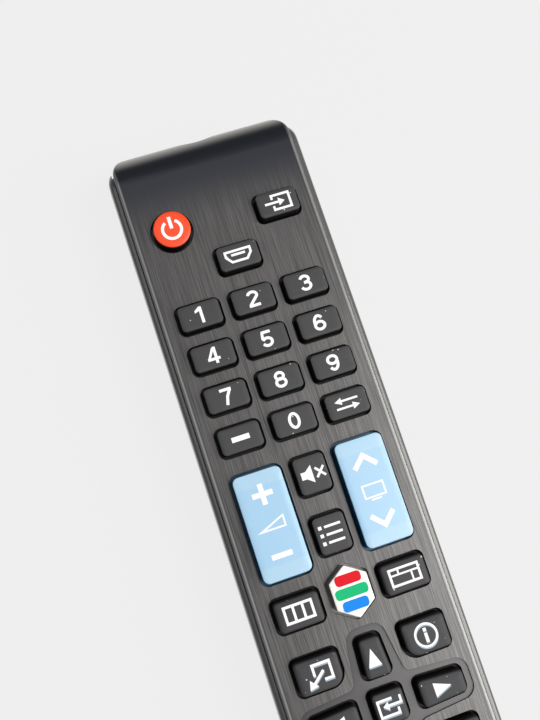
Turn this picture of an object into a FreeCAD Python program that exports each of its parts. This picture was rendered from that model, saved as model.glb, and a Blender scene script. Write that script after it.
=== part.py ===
import FreeCAD, Part
import math
import os
import Sketcher

# A television remote control, in millimetres, lying on its back with Z up.
# The origin is the middle of the flat back, X runs across and Y runs to the front end,
# which points at the screen. Heights are worked out downwards from the face.

SIZES = {
    # outer case
    "case_length": 216.0,
    "case_width": 48.0,
    "case_height": 21.0,
    "back_edge_round": 13.0,
    "back_end_round": 8.0,
    "shell_corner": 8.0,
    "shell_floor": 2.0,
    "shell_wall": 2.2,
    "shell_end_wall": 4.5,
    "shoulder_drop": 1.3,
    "shoulder_round": 1.1,
    "rim_wall": 1.35,
    # top case
    "face_inset": 1.6,
    "face_wall": 2.0,
    "face_corner": 6.2,
    "corner_overrun": 0.05,
    "face_end_round": 9.2,
    "face_edge_round": 0.45,
    "skirt_wall": 1.5,
    "skirt_reach": 4.5,
    "cap_wall": 2.6,
    "cap_reach": 11.0,
    "cap_inner_round": 4.5,
    "lap_gap": 0.1,
    # infrared window in its scoop
    "scoop_radius": 10.0,
    "scoop_depth": 1.8,
    "window_width": 8.6,
    "window_height": 4.6,
    "window_drop": 5.4,
    "window_stand": 0.3,
    "window_corner": 0.3,
    "window_flange": 1.0,
    "window_lip": 0.5,
    "window_fit": 0.06,
    "diode_diameter": 5.0,
    "diode_length": 6.4,
    "diode_rim": 0.25,
    "diode_rim_length": 1.0,
    "diode_gap": 0.3,
    "lead_wire": 0.5,
    "lead_pitch": 2.54,
    "lead_inset": 1.5,
    # what every key shares
    "key_rise": 2.7,
    "key_gap": 0.74,
    "key_corner": 1.1,
    "key_edge_round": 0.3,
    "key_travel": 0.8,
    "flange_margin": 0.9,
    "flange_gap": 0.4,
    "flange_wall": 1.4,
    "rocker_flange_wall": 1.0,
    "rocker_contact_pitch": 17.0,
    "rocker_dip": 0.53,
    "plunger_radius": 1.6,
    "plunger_gap": 0.4,
    "contact_gap": 0.05,
    "dome_foot": 1.1,
    "dome_wall": 0.45,
    "dome_clearance": 0.2,
    "fulcrum_width": 5.0,
    "fulcrum_length": 1.2,
    # sheet and board under the keys
    "mat_wall": 0.8,
    "mat_side_gap": 0.6,
    "board_wall": 1.2,
    "board_front_inset": 11.5,
    # battery bay and its door
    "cell_diameter": 10.5,
    "cell_length": 44.5,
    "nub_diameter": 3.8,
    "nub_length": 1.0,
    "cell_gap": 0.3,
    "bay_clearance": 0.2,
    "bay_wall": 1.4,
    "bay_rear_inset": 13.5,
    "contact_reach": 2.75,
    "contact_slack": 0.06,
    "door_side_inset": 9.5,
    "door_wall": 2.2,
    "door_gap": 0.12,
    "door_front_lap": 3.0,
    "tongue_reach": 0.8,
    "tongue_wall": 0.9,
    "seat_wall": 1.1,
    "seat_side_inset": 7.0,
    "grip_inset": 4.8,
    "grip_width": 13.0,
    "grip_slot": 1.1,
    "grip_corner": 0.5,
    "grip_pitch": 2.4,
    "grip_depth": 0.4,
    # sheet metal contacts
    "strip_wall": 0.35,
    "strip_foot": 4.0,
    "leaf_wall": 0.6,
    "positive_leaf_width": 3.4,
    "negative_leaf_width": 5.6,
    "tab_gap": 0.15,
    # screws, bosses and posts
    "screw_spacing": 22.0,
    "screw_rear_inset": 7.4,
    "screw_head_radius": 1.9,
    "screw_head_height": 1.5,
    "screw_radius": 1.0,
    "screw_length": 12.0,
    "screw_clearance": 0.15,
    "screw_fit": 0.05,
    "drive_length": 3.0,
    "drive_width": 0.6,
    "drive_depth": 0.75,
    "boss_radius": 3.2,
    "boss_height": 9.0,
    "post_radius": 2.6,
    "post_root": 0.5,
    "post_gap": 0.2,
    # ribs that carry the board
    "rib_wall": 1.2,
    "rib_root": 1.0,
    "rib_front_inset": 25.0,
    "rib_rear_gap": 6.0,
    # where the keys are: rows ahead of or behind the key 5, and columns from the middle
    "rows_in_length": 21.386,
    "columns_in_face": 3.42,
    "front_rows": 5.465,
    "connector_rows": 2.099,
    "source_rows": 3.069,
    "power_rows": 3.158,
    "rocker_rows": 4.064,
    "rocker_columns": 0.947,
    "middle_pair_rows": 3.98,
    "middle_pair_apart": 1.401,
    "menu_rows": 6.074,
    "menu_columns": 0.977,
    "hexagon_rows": 6.035,
    "arrows_rows": 8.648,
    "tools_rows": 1.178,
    "tools_columns": 0.981,
    "up_rows": 1.114,
    "side_columns": 0.962,
    "colour_rows": 11.06,
    "colour_columns": 0.794,
    "function_rows": 12.0,
    "transport_rows": 12.99,
    "transport_apart": 0.941,
    # how large the keys are; a gap is what a key leaves free of its column
    "number_gap": 3.1,
    "number_length": 6.1,
    "power_diameter": 8.9,
    "rocker_gap": 1.5,
    "rocker_length": 25.0,
    "rocker_corner": 1.5,
    "middle_width": 7.5,
    "middle_length": 8.7,
    "menu_gap": 2.4,
    "menu_length": 7.2,
    "hexagon_width": 9.1,
    "hexagon_length": 12.3,
    "hexagon_side": 6.2,
    "hexagon_corner": 0.5,
    "tools_gap": 2.6,
    "tools_length": 7.8,
    "tools_big_corner": 3.0,
    "enter_width": 7.4,
    "enter_length": 7.3,
    "up_length": 9.0,
    "up_inner_width": 6.5,
    "up_outer_width": 5.2,
    "side_gap": 2.3,
    "side_inner_width": 6.6,
    "side_outer_width": 5.3,
    "colour_gap": 2.4,
    "colour_length": 4.6,
    "function_length": 5.0,
    "transport_length": 5.4,
    # the recess round the arrow keys
    "recess_depth": 0.45,
    "recess_margin_up": 2.35,
    "recess_margin_side": 2.2,
    "recess_half_tip_up": 4.35,
    "recess_half_tip_side": 4.5,
    "recess_inner_x": 6.2,
    "recess_inner_y": 5.6,
    "recess_tip_corner": 3.0,
    "recess_inner_corner": 1.6,
    # parts soldered under the board
    "chip_length": 12.8,
    "chip_width": 7.5,
    "chip_height": 2.2,
    "chip_standoff": 0.2,
    "pin_pitch": 1.27,
    "pin_wall": 0.4,
    "pin_reach": 1.3,
    "capacitor_diameter": 5.0,
    "capacitor_length": 9.0,
    "capacitor_aside": 12.0,
    "resonator_length": 7.0,
    "resonator_width": 2.6,
    "resonator_height": 4.0,
    "resistor_length": 2.0,
    "resistor_width": 1.25,
    "resistor_height": 0.6,
    "resistor_pitch": 5.0,
}

PINS_PER_SIDE = 10
RESISTOR_COUNT = 4
RIB_COUNT = 4
GRIP_COUNT = 5
FAR = 400.0
SAME = 0.02


class Size:
    """A length that carries its number and its expression on the sheet."""

    def __init__(self, number, text):
        self.number = number
        self.text = text

    def __add__(self, other):
        other = as_size(other)
        return Size(self.number + other.number, f"({self.text} + {other.text})")

    def __sub__(self, other):
        other = as_size(other)
        return Size(self.number - other.number, f"({self.text} - {other.text})")

    def __mul__(self, other):
        other = as_size(other)
        return Size(self.number * other.number, f"({self.text} * {other.text})")

    def __truediv__(self, other):
        other = as_size(other)
        return Size(self.number / other.number, f"({self.text} / {other.text})")

    def __neg__(self):
        return Size(-self.number, f"(0 - {self.text})")


def as_size(value):
    """Takes a Size as it is and gives a plain number the same form."""
    return value if isinstance(value, Size) else Size(float(value), str(float(value)))


def d(alias):
    """The size with this alias on the sheet."""
    return Size(SIZES[alias], f"sheet.{alias}")


ZERO = as_size(0.0)


# Heights above the surface that the remote lies on
FACE = d("case_height")
UNDER_FACE = FACE - d("face_wall")
KEY_TOP = FACE + d("key_rise")
FLANGE_TOP = UNDER_FACE - d("flange_gap")
FLANGE_UNDER = FLANGE_TOP - d("flange_wall")
MAT_TOP = FLANGE_UNDER - d("key_travel") - d("lap_gap")
BOARD_TOP = MAT_TOP - d("mat_wall")
BOARD_UNDER = BOARD_TOP - d("board_wall")
PLUNGER_UNDER = BOARD_TOP + d("key_travel") + d("contact_gap")
ROCKER_PLUNGER_UNDER = BOARD_TOP + d("rocker_dip") + d("contact_gap")
SHOULDER = FACE - d("shoulder_drop")
SKIRT_UNDER = FACE - d("skirt_reach")
RIM_LEDGE = SKIRT_UNDER - d("lap_gap")
CAP_UNDER = FACE - d("cap_reach")
CAP_LEDGE = CAP_UNDER - d("lap_gap")
CELL_AXIS = d("door_wall") + d("cell_gap") + d("cell_diameter") / 2
BAY_ROOF = CELL_AXIS + d("cell_diameter") / 2 + d("bay_clearance")

# Places along and across the case
HALF_LENGTH = d("case_length") / 2
HALF_WIDTH = d("case_width") / 2
HALF_FACE = HALF_WIDTH - d("face_inset")
FACE_WIDTH = HALF_FACE * 2
ROW = d("case_length") / d("rows_in_length")
COLUMN = FACE_WIDTH / d("columns_in_face")
FIVE = HALF_LENGTH - ROW * d("front_rows")
ARROWS = FIVE - ROW * d("arrows_rows")
CAP_INSIDE = HALF_LENGTH - d("cap_wall")
SHELL_TOP_END = CAP_INSIDE - d("lap_gap") * 2
CAVITY_HALF_LENGTH = HALF_LENGTH - d("shell_end_wall")
CAVITY_HALF_WIDTH = HALF_WIDTH - d("shell_wall")
CAVITY_ROUND = d("back_edge_round") - d("shell_floor")
BAY_REAR = d("bay_rear_inset") - HALF_LENGTH
BAY_LENGTH = d("cell_length") + d("contact_reach") * 2
BAY_FRONT = BAY_REAR + BAY_LENGTH
BAY_MIDDLE = BAY_REAR + BAY_LENGTH / 2
CELL_COLUMN = d("cell_diameter") / 2 + d("bay_clearance")
BAY_HALF_WIDTH = CELL_COLUMN * 2
DOOR_FRONT = BAY_FRONT + d("door_front_lap")
SCREW_Y = d("screw_rear_inset") - HALF_LENGTH
BOARD_FRONT = HALF_LENGTH - d("board_front_inset")
BOARD_REAR = BAY_REAR - d("lap_gap") * 2
BOARD_HALF_WIDTH = HALF_FACE - d("skirt_wall") - d("mat_side_gap")
FRONT_RIB = HALF_LENGTH - d("rib_front_inset")
REAR_RIB = BAY_FRONT + d("bay_wall") + d("rib_rear_gap")
RIB_SPACING = (FRONT_RIB - REAR_RIB) / (RIB_COUNT - 1)
DOOR_HALF_WIDTH = HALF_WIDTH - d("door_side_inset")
TONGUE_HALF_WIDTH = DOOR_HALF_WIDTH + d("tongue_reach")
TONGUE_UNDER = d("door_wall") - d("tongue_wall")
WINDOW_TOP = FACE - d("window_drop")
WINDOW_UNDER = WINDOW_TOP - d("window_height")
WINDOW_AXIS = WINDOW_TOP - d("window_height") / 2

doc = FreeCAD.newDocument("remote_control")
parts = []
cuts = []


def make_sheet():
    """Writes the driving dimensions to the sheet, one named cell each."""
    sheet = doc.addObject("Spreadsheet::Sheet", "sheet")
    for row, (alias, number) in enumerate(SIZES.items(), start=1):
        sheet.set(f"A{row}", alias)
        sheet.set(f"B{row}", str(number))
        sheet.setAlias(f"B{row}", alias)
    doc.recompute()


def bind(item, path, size):
    """Ties a property to its size on the sheet."""
    item.setExpression(path, as_size(size).text)


def keep(item, name):
    """Names a finished sub-part and puts it on the list to be written."""
    item.Label = name
    parts.append(item)
    return item


def new_body(name):
    """Starts a sub-part that is built from sketches."""
    return keep(doc.addObject("PartDesign::Body", name), name)


def place(item, x=ZERO, y=ZERO, z=ZERO):
    """Moves an object to its place on the remote."""
    bind(item, "Placement.Base.x", x)
    bind(item, "Placement.Base.y", y)
    bind(item, "Placement.Base.z", z)


def new_sketch(body, plane_role, name, along=ZERO, x=ZERO, y=ZERO):
    """Opens a sketch on one of the body's own planes, moved along its normal and on the plane."""
    sketch = body.newObject("Sketcher::SketchObject", name)
    plane = next(item for item in body.Origin.OriginFeatures if item.Role == plane_role)
    sketch.AttachmentSupport = [(plane, "")]
    sketch.MapMode = "FlatFace"
    bind(sketch, "AttachmentOffset.Base.x", x)
    bind(sketch, "AttachmentOffset.Base.y", y)
    bind(sketch, "AttachmentOffset.Base.z", along)
    return sketch


def corner_points(corners):
    """For each corner: the corner, where its arc leaves each side, and the arc's middle."""
    points = []
    for index, (x, y, radius) in enumerate(corners):
        here = FreeCAD.Vector(x.number, y.number, 0)
        before = corners[index - 1]
        after = corners[(index + 1) % len(corners)]
        back = (FreeCAD.Vector(before[0].number, before[1].number, 0) - here).normalize()
        ahead = (FreeCAD.Vector(after[0].number, after[1].number, 0) - here).normalize()
        if radius is None:
            points.append((here, here, here, None, True))
            continue
        half_angle = back.getAngle(ahead) / 2
        run = radius.number / math.tan(half_angle)
        middle = here + (back + ahead).normalize() * (radius.number / math.sin(half_angle))
        left_turn = back.cross(ahead).z < 0
        points.append((here, here + back * run, here + ahead * run, middle, left_turn))
    return points


def add_outline(sketch, corners):
    """Draws a closed outline through corners of (x, y, rounding), held by named constraints."""
    points = corner_points(corners)
    count = len(corners)
    first = sketch.GeometryCount
    lines = []
    for index in range(count):
        start = points[index][2]
        end = points[(index + 1) % count][1]
        lines.append(Part.LineSegment(start, end))
    sketch.addGeometry(lines, False)
    constraints = []
    named = []
    for index, (x, y, radius) in enumerate(corners):
        here, entry, leave, middle, left_turn = points[index]
        line_in = first + (index - 1) % count
        line_out = first + index
        if radius is None:
            constraints.append(Sketcher.Constraint("Coincident", line_in, 2, line_out, 1))
            holder, spot = line_out, 1
        else:
            begin = entry if left_turn else leave
            finish = leave if left_turn else entry
            angle_begin = math.atan2(begin.y - middle.y, begin.x - middle.x)
            angle_finish = math.atan2(finish.y - middle.y, finish.x - middle.x)
            circle = Part.Circle(middle, FreeCAD.Vector(0, 0, 1), radius.number)
            arc = sketch.addGeometry(Part.ArcOfCircle(circle, angle_begin, angle_finish), False)
            entry_end, leave_end = (1, 2) if left_turn else (2, 1)
            constraints.append(Sketcher.Constraint("Tangent", line_in, 2, arc, entry_end))
            constraints.append(Sketcher.Constraint("Tangent", arc, leave_end, line_out, 1))
            named.append(("Radius", (arc,), radius))
            holder, spot = sketch.addGeometry(Part.Point(here), True), 1
            constraints.append(Sketcher.Constraint("PointOnObject", holder, 1, line_in))
            constraints.append(Sketcher.Constraint("PointOnObject", holder, 1, line_out))
        named.append(("DistanceX", (-1, 1, holder, spot), x))
        named.append(("DistanceY", (-1, 1, holder, spot), y))
    sketch.addConstraint(constraints)
    add_sizes(sketch, named)


def add_sizes(sketch, named):
    """Adds dimension constraints, each with a name and its expression."""
    first = sketch.ConstraintCount
    constraints = []
    for index, (kind, where, size) in enumerate(named, start=first):
        constraint = Sketcher.Constraint(kind, *where, size.number)
        constraint.Name = f"{kind.lower()}_{index}"
        constraints.append(constraint)
    sketch.addConstraint(constraints)
    for constraint, (_, _, size) in zip(constraints, named):
        bind(sketch, f"Constraints.{constraint.Name}", size)


def add_circle(sketch, x, y, radius):
    """Draws a circle whose middle and radius are held by named constraints."""
    middle = FreeCAD.Vector(x.number, y.number, 0)
    circle = sketch.addGeometry(Part.Circle(middle, FreeCAD.Vector(0, 0, 1), radius.number), False)
    add_sizes(sketch, [
        ("Radius", (circle,), radius),
        ("DistanceX", (-1, 1, circle, 3), x),
        ("DistanceY", (-1, 1, circle, 3), y),
    ])


def rectangle(x_low, x_high, y_low, y_high, radius=None):
    """The four corners of a rectangle, anticlockwise from the lower left."""
    return [
        (x_low, y_low, radius),
        (x_high, y_low, radius),
        (x_high, y_high, radius),
        (x_low, y_high, radius),
    ]


def centred(width, length, radius=None):
    """A rectangle about the sketch's own middle."""
    return rectangle(-width / 2, width / 2, -length / 2, length / 2, radius)


def pad(body, sketch, length, both_ways=False):
    """Adds material from a sketch along its normal, or to both sides of it."""
    feature = body.newObject("PartDesign::Pad", "Pad")
    feature.Profile = sketch
    feature.SideType = "Symmetric" if both_ways else "One side"
    bind(feature, "Length", length)
    body.Tip = feature
    return feature


def pocket(body, sketch, length, along_normal=False, both_ways=False):
    """Removes material under a sketch, or along its normal, or to both sides of it."""
    feature = body.newObject("PartDesign::Pocket", "Pocket")
    feature.Profile = sketch
    feature.SideType = "Symmetric" if both_ways else "One side"
    feature.Reversed = along_normal
    bind(feature, "Length", length)
    body.Tip = feature
    cuts.append(feature)
    return feature


def round_edges(body, chosen, radius):
    """Rounds the edges of the body's last feature for which chosen(edge) holds."""
    doc.recompute()
    base = body.Tip
    names = [f"Edge{number}" for number, edge in enumerate(base.Shape.Edges, start=1) if chosen(edge)]
    feature = body.newObject("PartDesign::Fillet", "Fillet")
    feature.Base = (base, names)
    bind(feature, "Radius", radius)
    body.Tip = feature
    return feature


def repeat_to_rear(body, feature, name, pitch, count):
    """Repeats a feature in a row that runs to the rear end."""
    pattern = body.newObject("PartDesign::LinearPattern", name)
    pattern.Originals = [feature]
    axis = next(item for item in body.Origin.OriginFeatures if item.Role == "Y_Axis")
    pattern.Direction = (axis, [""])
    pattern.Reversed = True
    pattern.Occurrences = count
    bind(pattern, "Length", pitch * (count - 1))
    body.Tip = pattern


def turn(body, plane_role, corners):
    """Turns half a section about the upright axis of its sketch."""
    profile = new_sketch(body, plane_role, "half_section")
    add_outline(profile, corners)
    turned = body.newObject("PartDesign::Revolution", "turned")
    turned.Profile = profile
    turned.ReferenceAxis = (profile, ["V_Axis"])
    turned.Angle = 360
    body.Tip = turned


def keep_inside(body, plane_role, name, corners):
    """Trims a body to an outline seen along one axis."""
    sketch = new_sketch(body, plane_role, name)
    far = as_size(FAR)
    add_outline(sketch, rectangle(-far, far, -far, far))
    add_outline(sketch, corners)
    return pocket(body, sketch, far, both_ways=True)


# The keys: each has a name, a place, and an outline that can grow by a margin

def block_key(width, length, corner=None, big_corner=None, big_at=None):
    """A key with four rounded corners, one of which may be larger."""
    corner = corner or d("key_corner")

    def corners(margin):
        half_x = width / 2 + margin
        half_y = length / 2 + margin
        outline = rectangle(-half_x, half_x, -half_y, half_y, corner + margin)
        if big_at is not None:
            x, y, _ = outline[big_at]
            outline[big_at] = (x, y, big_corner + margin)
        return outline
    return corners


def arrow_key(inner_width, outer_width, length, quarter_turns):
    """A key that narrows away from the middle of the arrow pad, turned by quarter turns."""

    def corners(margin):
        outline = [
            (-inner_width / 2 - margin, -length / 2 - margin, d("key_corner") + margin),
            (inner_width / 2 + margin, -length / 2 - margin, d("key_corner") + margin),
            (outer_width / 2 + margin, length / 2 + margin, d("key_corner") + margin),
            (-outer_width / 2 - margin, length / 2 + margin, d("key_corner") + margin),
        ]
        for _ in range(quarter_turns):
            outline = [(-y, x, radius) for x, y, radius in outline]
        return outline
    return corners


def hexagon_key(width, length, side, corner):
    """A tall six-sided key that stands on one of its corners."""

    def corners(margin):
        half_x = width / 2 + margin
        half_y = length / 2 + margin
        half_side = side / 2 + margin / 2
        radius = corner + margin
        return [
            (ZERO, -half_y, radius),
            (half_x, -half_side, radius),
            (half_x, half_side, radius),
            (ZERO, half_y, radius),
            (-half_x, half_side, radius),
            (-half_x, -half_side, radius),
        ]
    return corners


def key_list():
    """Every key as (name, x, y, outline or diameter, kind)."""
    number = block_key(COLUMN - d("number_gap"), d("number_length"))
    keys = [
        ("power_key", -COLUMN, in_row("power_rows", 1), d("power_diameter"), "round"),
        ("source_key", COLUMN, in_row("source_rows", 1), number, "push"),
        ("connector_key", ZERO, in_row("connector_rows", 1), number, "push"),
    ]
    names = ("one", "two", "three", "four", "five", "six", "seven", "eight", "nine")
    for index, name in enumerate(names):
        y = FIVE + ROW * (1 - index // 3)
        keys.append((f"number_{name}_key", COLUMN * (index % 3 - 1), y, number, "push"))
    for side, name in ((-1, "dash_key"), (0, "number_zero_key"), (1, "previous_channel_key")):
        keys.append((name, COLUMN * side, FIVE - ROW * 2, number, "push"))
    middle = block_key(d("middle_width"), d("middle_length"))
    for side, name in ((1, "mute_key"), (-1, "channel_list_key")):
        y = in_row("middle_pair_rows") + ROW * d("middle_pair_apart") / 2 * side
        keys.append((name, ZERO, y, middle, "push"))
    rocker = block_key(COLUMN - d("rocker_gap"), d("rocker_length"), d("rocker_corner"))
    for side, name in ((-1, "volume_rocker"), (1, "channel_rocker")):
        keys.append((name, COLUMN * d("rocker_columns") * side, in_row("rocker_rows"), rocker, "rocker"))
    menu = block_key(COLUMN - d("menu_gap"), d("menu_length"))
    for side, name in ((-1, "menu_key"), (1, "guide_key")):
        keys.append((name, COLUMN * d("menu_columns") * side, in_row("menu_rows"), menu, "push"))
    hexagon = hexagon_key(d("hexagon_width"), d("hexagon_length"), d("hexagon_side"), d("hexagon_corner"))
    keys.append(("hexagon_key", ZERO, in_row("hexagon_rows"), hexagon, "push"))
    keys.extend(arrow_pad())
    colour = block_key(COLUMN * d("colour_columns") - d("colour_gap"), d("colour_length"))
    for index, name in enumerate(("red_key", "green_key", "yellow_key", "blue_key")):
        x = COLUMN * d("colour_columns") * (index - 1.5)
        keys.append((name, x, in_row("colour_rows"), colour, "push"))
    function = block_key(COLUMN - d("number_gap"), d("function_length"))
    for side, name in ((-1, "subtitle_key"), (0, "size_key"), (1, "settings_key")):
        keys.append((name, COLUMN * side, in_row("function_rows"), function, "push"))
    transport = block_key(COLUMN - d("number_gap"), d("transport_length"))
    names = ("rewind_key", "pause_key", "forward_key", "record_key", "play_key", "stop_key")
    for index, name in enumerate(names):
        y = in_row("transport_rows") - ROW * d("transport_apart") * (index // 3)
        keys.append((name, COLUMN * (index % 3 - 1), y, transport, "push"))
    return keys


def in_row(alias, end=-1):
    """The place along the remote that is this many rows behind the key 5, or ahead of it."""
    return FIVE + ROW * d(alias) * end


def arrow_pad():
    """The enter key, the four arrow keys round it and the four keys at the corners."""
    keys = []
    corner_keys = (
        ("tools_key", -1, 1, 1), ("info_key", 1, 1, 0), ("return_key", -1, -1, 2), ("exit_key", 1, -1, 3),
    )
    for name, side, end, big_at in corner_keys:
        shape = block_key(COLUMN - d("tools_gap"), d("tools_length"), None, d("tools_big_corner"), big_at)
        x = COLUMN * d("tools_columns") * side
        keys.append((name, x, ARROWS + ROW * d("tools_rows") * end, shape, "push"))
    for name, end, turns in (("arrow_up_key", 1, 0), ("arrow_down_key", -1, 2)):
        shape = arrow_key(d("up_inner_width"), d("up_outer_width"), d("up_length"), turns)
        keys.append((name, ZERO, ARROWS + ROW * d("up_rows") * end, shape, "push"))
    for name, side, turns in (("arrow_left_key", -1, 1), ("arrow_right_key", 1, 3)):
        shape = arrow_key(d("side_inner_width"), d("side_outer_width"), COLUMN - d("side_gap"), turns)
        keys.append((name, COLUMN * d("side_columns") * side, ARROWS, shape, "push"))
    keys.append(("enter_key", ZERO, ARROWS, block_key(d("enter_width"), d("enter_length")), "push"))
    return keys


def contact_places(keys):
    """The middle of every plunger on the remote: one for a push key and two for a rocker."""
    places = []
    for _, x, y, _, kind in keys:
        for offset in contact_offsets(kind):
            places.append((x, y + offset))
    return places


def contact_offsets(kind):
    """How far along Y a key's plungers are from its middle."""
    if kind == "rocker":
        return (d("rocker_contact_pitch") / 2, -d("rocker_contact_pitch") / 2)
    return (ZERO,)


def draw_key_outline(sketch, shape, kind, margin):
    """Draws a key's outline about the sketch's middle, grown by a margin."""
    if kind == "round":
        add_circle(sketch, ZERO, ZERO, shape / 2 + margin)
    else:
        add_outline(sketch, shape(margin))


def lies_at_height(height):
    """Chooses the edges that lie at one height."""
    def chosen(edge):
        box = edge.BoundBox
        return abs(box.ZMin - height.number) < SAME and abs(box.ZMax - height.number) < SAME
    return chosen


def make_key(name, x, y, shape, kind):
    """One key: a head through the face, a wider flange under it and its plungers."""
    body = new_body(name)
    place(body, x, y)
    rocks = kind == "rocker"
    plunger_under = ROCKER_PLUNGER_UNDER if rocks else PLUNGER_UNDER
    flange = new_sketch(body, "XY_Plane", "flange_outline", FLANGE_UNDER)
    draw_key_outline(flange, shape, kind, d("flange_margin"))
    pad(body, flange, d("rocker_flange_wall") if rocks else d("flange_wall"))
    for offset in contact_offsets(kind):
        plunger = new_sketch(body, "XY_Plane", "plunger_outline", plunger_under, y=offset)
        add_circle(plunger, ZERO, ZERO, d("plunger_radius"))
        pad(body, plunger, FLANGE_UNDER - plunger_under)
    head = new_sketch(body, "XY_Plane", "head_outline", FLANGE_UNDER)
    draw_key_outline(head, shape, kind, ZERO)
    pad(body, head, KEY_TOP - FLANGE_UNDER)
    return body


def make_keys(keys):
    """All keys, and then the rounding of their top edges."""
    bodies = [make_key(*key) for key in keys]
    for body in bodies:
        round_edges(body, lies_at_height(KEY_TOP), d("key_edge_round"))


def side_profile(low, high, end, low_round, high_round):
    """A long rectangle seen from the side, with its own rounding at the bottom and the top."""
    return [
        (-end, low, low_round),
        (end, low, low_round),
        (end, high, high_round),
        (-end, high, high_round),
    ]


def on_profile_edge(half_width, corner, plan_end, top, end, end_round):
    """Chooses the edges where a rounded top profile meets the sides of a rounded plan."""
    def plan_half_width(y):
        into = abs(y) - (plan_end.number - corner.number)
        if into <= 0:
            return half_width.number
        return half_width.number - corner.number + math.sqrt(max(corner.number ** 2 - into ** 2, 0))

    def profile_height(y):
        into = abs(y) - (end.number - end_round.number)
        if into <= 0:
            return top.number
        return top.number - end_round.number + math.sqrt(max(end_round.number ** 2 - into ** 2, 0))

    def chosen(edge):
        for share in (0.1, 0.5, 0.9):
            span = edge.LastParameter - edge.FirstParameter
            point = edge.valueAt(edge.FirstParameter + span * share)
            if abs(abs(point.x) - plan_half_width(point.y)) > SAME:
                return False
            if abs(point.z - profile_height(point.y)) > SAME:
                return False
        return True
    return chosen


def add_trough(sketch, half_width, floor, rounding, top):
    """Draws a section that is rounded at its two lower corners and square at the top."""
    add_outline(sketch, [
        (-half_width, floor, rounding),
        (half_width, floor, rounding),
        (half_width, top, None),
        (-half_width, top, None),
    ])


def pad_whole_shell(body):
    """The full length of the case, with the rounded edges of its back and its rounded corners."""
    section = new_sketch(body, "XZ_Plane", "section")
    add_trough(section, HALF_WIDTH, ZERO, d("back_edge_round"), SHOULDER)
    pad(body, section, d("case_length"), both_ways=True)
    plan = centred(d("case_width"), d("case_length"), d("shell_corner"))
    keep_inside(body, "XY_Plane", "plan", plan)


def make_bottom_case():
    """The lower shell with its rim, battery bay, door grooves, ribs and screw bosses."""
    body = new_body("bottom_case")
    pad_whole_shell(body)
    top_round = d("face_end_round") - d("cap_wall") - d("lap_gap")
    keep_inside(body, "YZ_Plane", "side", [
        (-HALF_LENGTH, ZERO, d("back_end_round")),
        (HALF_LENGTH, ZERO, d("back_end_round")),
        (HALF_LENGTH, CAP_LEDGE, None),
        (SHELL_TOP_END, CAP_LEDGE, None),
        (SHELL_TOP_END, SHOULDER, top_round),
        (-SHELL_TOP_END, SHOULDER, top_round),
        (-SHELL_TOP_END, CAP_LEDGE, None),
        (-HALF_LENGTH, CAP_LEDGE, None),
    ])
    corner = d("shell_corner")
    rim_edges = on_profile_edge(HALF_WIDTH, corner, HALF_LENGTH, SHOULDER, SHELL_TOP_END, top_round)
    round_edges(body, rim_edges, d("shoulder_round"))
    cavity = new_sketch(body, "XZ_Plane", "cavity")
    add_trough(cavity, CAVITY_HALF_WIDTH, d("shell_floor"), CAVITY_ROUND, FACE)
    pocket(body, cavity, CAVITY_HALF_LENGTH * 2, both_ways=True)
    rim = new_sketch(body, "XY_Plane", "rim_recess", RIM_LEDGE)
    rim_half = HALF_WIDTH - d("rim_wall")
    add_outline(rim, rectangle(-rim_half, rim_half, -HALF_LENGTH, HALF_LENGTH))
    pocket(body, rim, d("skirt_reach"), along_normal=True)
    relief = new_sketch(body, "XY_Plane", "end_relief", RIM_LEDGE - d("cap_inner_round"))
    relief_start = CAP_INSIDE - d("cap_inner_round") - d("lap_gap")
    add_outline(relief, rectangle(-rim_half, rim_half, relief_start, HALF_LENGTH))
    add_outline(relief, rectangle(-rim_half, rim_half, -HALF_LENGTH, -relief_start))
    pocket(body, relief, d("case_height"), along_normal=True)
    add_bay(body)
    add_ribs(body)
    add_bosses(body)
    add_door_recess(body)
    notch = new_sketch(body, "XY_Plane", "diode_notch", CAP_LEDGE)
    notch_half = d("window_width") / 2 + d("window_flange") + d("window_fit") * 2
    add_outline(notch, rectangle(-notch_half, notch_half, BOARD_FRONT - d("diode_length"), HALF_LENGTH))
    pocket(body, notch, d("cap_reach"), along_normal=True)


def add_bay(body):
    """The floor over the door and the box that holds the two cells."""
    seat = new_sketch(body, "XY_Plane", "door_seat", d("door_wall") + d("door_gap"))
    seat_half = HALF_WIDTH - d("seat_side_inset")
    seat_front = DOOR_FRONT + d("seat_wall")
    add_outline(seat, rectangle(-seat_half, seat_half, -CAVITY_HALF_LENGTH - d("seat_wall"), seat_front))
    pad(body, seat, d("seat_wall"))
    step = new_sketch(body, "XY_Plane", "seat_step", d("shell_floor") - d("rib_root"))
    add_outline(step, rectangle(-TONGUE_HALF_WIDTH, TONGUE_HALF_WIDTH, DOOR_FRONT, seat_front))
    pad(body, step, d("door_wall"))
    box = new_sketch(body, "XY_Plane", "bay_box", d("door_wall") + d("door_gap"))
    half = BAY_HALF_WIDTH + d("bay_wall")
    rear = BAY_REAR - d("bay_wall")
    front = BAY_FRONT + d("bay_wall")
    add_outline(box, rectangle(-half, half, rear, front))
    pad(body, box, BOARD_UNDER - d("door_wall") - d("door_gap"))
    inside = new_sketch(body, "XY_Plane", "bay_inside")
    add_outline(inside, rectangle(-BAY_HALF_WIDTH, BAY_HALF_WIDTH, BAY_REAR, BAY_FRONT))
    pocket(body, inside, BAY_ROOF, along_normal=True)
    slots = new_sketch(body, "XY_Plane", "terminal_slots", CELL_AXIS)
    slot_half = d("positive_leaf_width") / 2 + d("tab_gap")
    slot_rear = BAY_FRONT - d("strip_wall") - d("tab_gap")
    for side in (-1, 1):
        middle = CELL_COLUMN * side
        add_outline(slots, rectangle(middle - slot_half, middle + slot_half, slot_rear, BAY_FRONT))
    pocket(body, slots, d("case_height"), along_normal=True)


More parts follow.
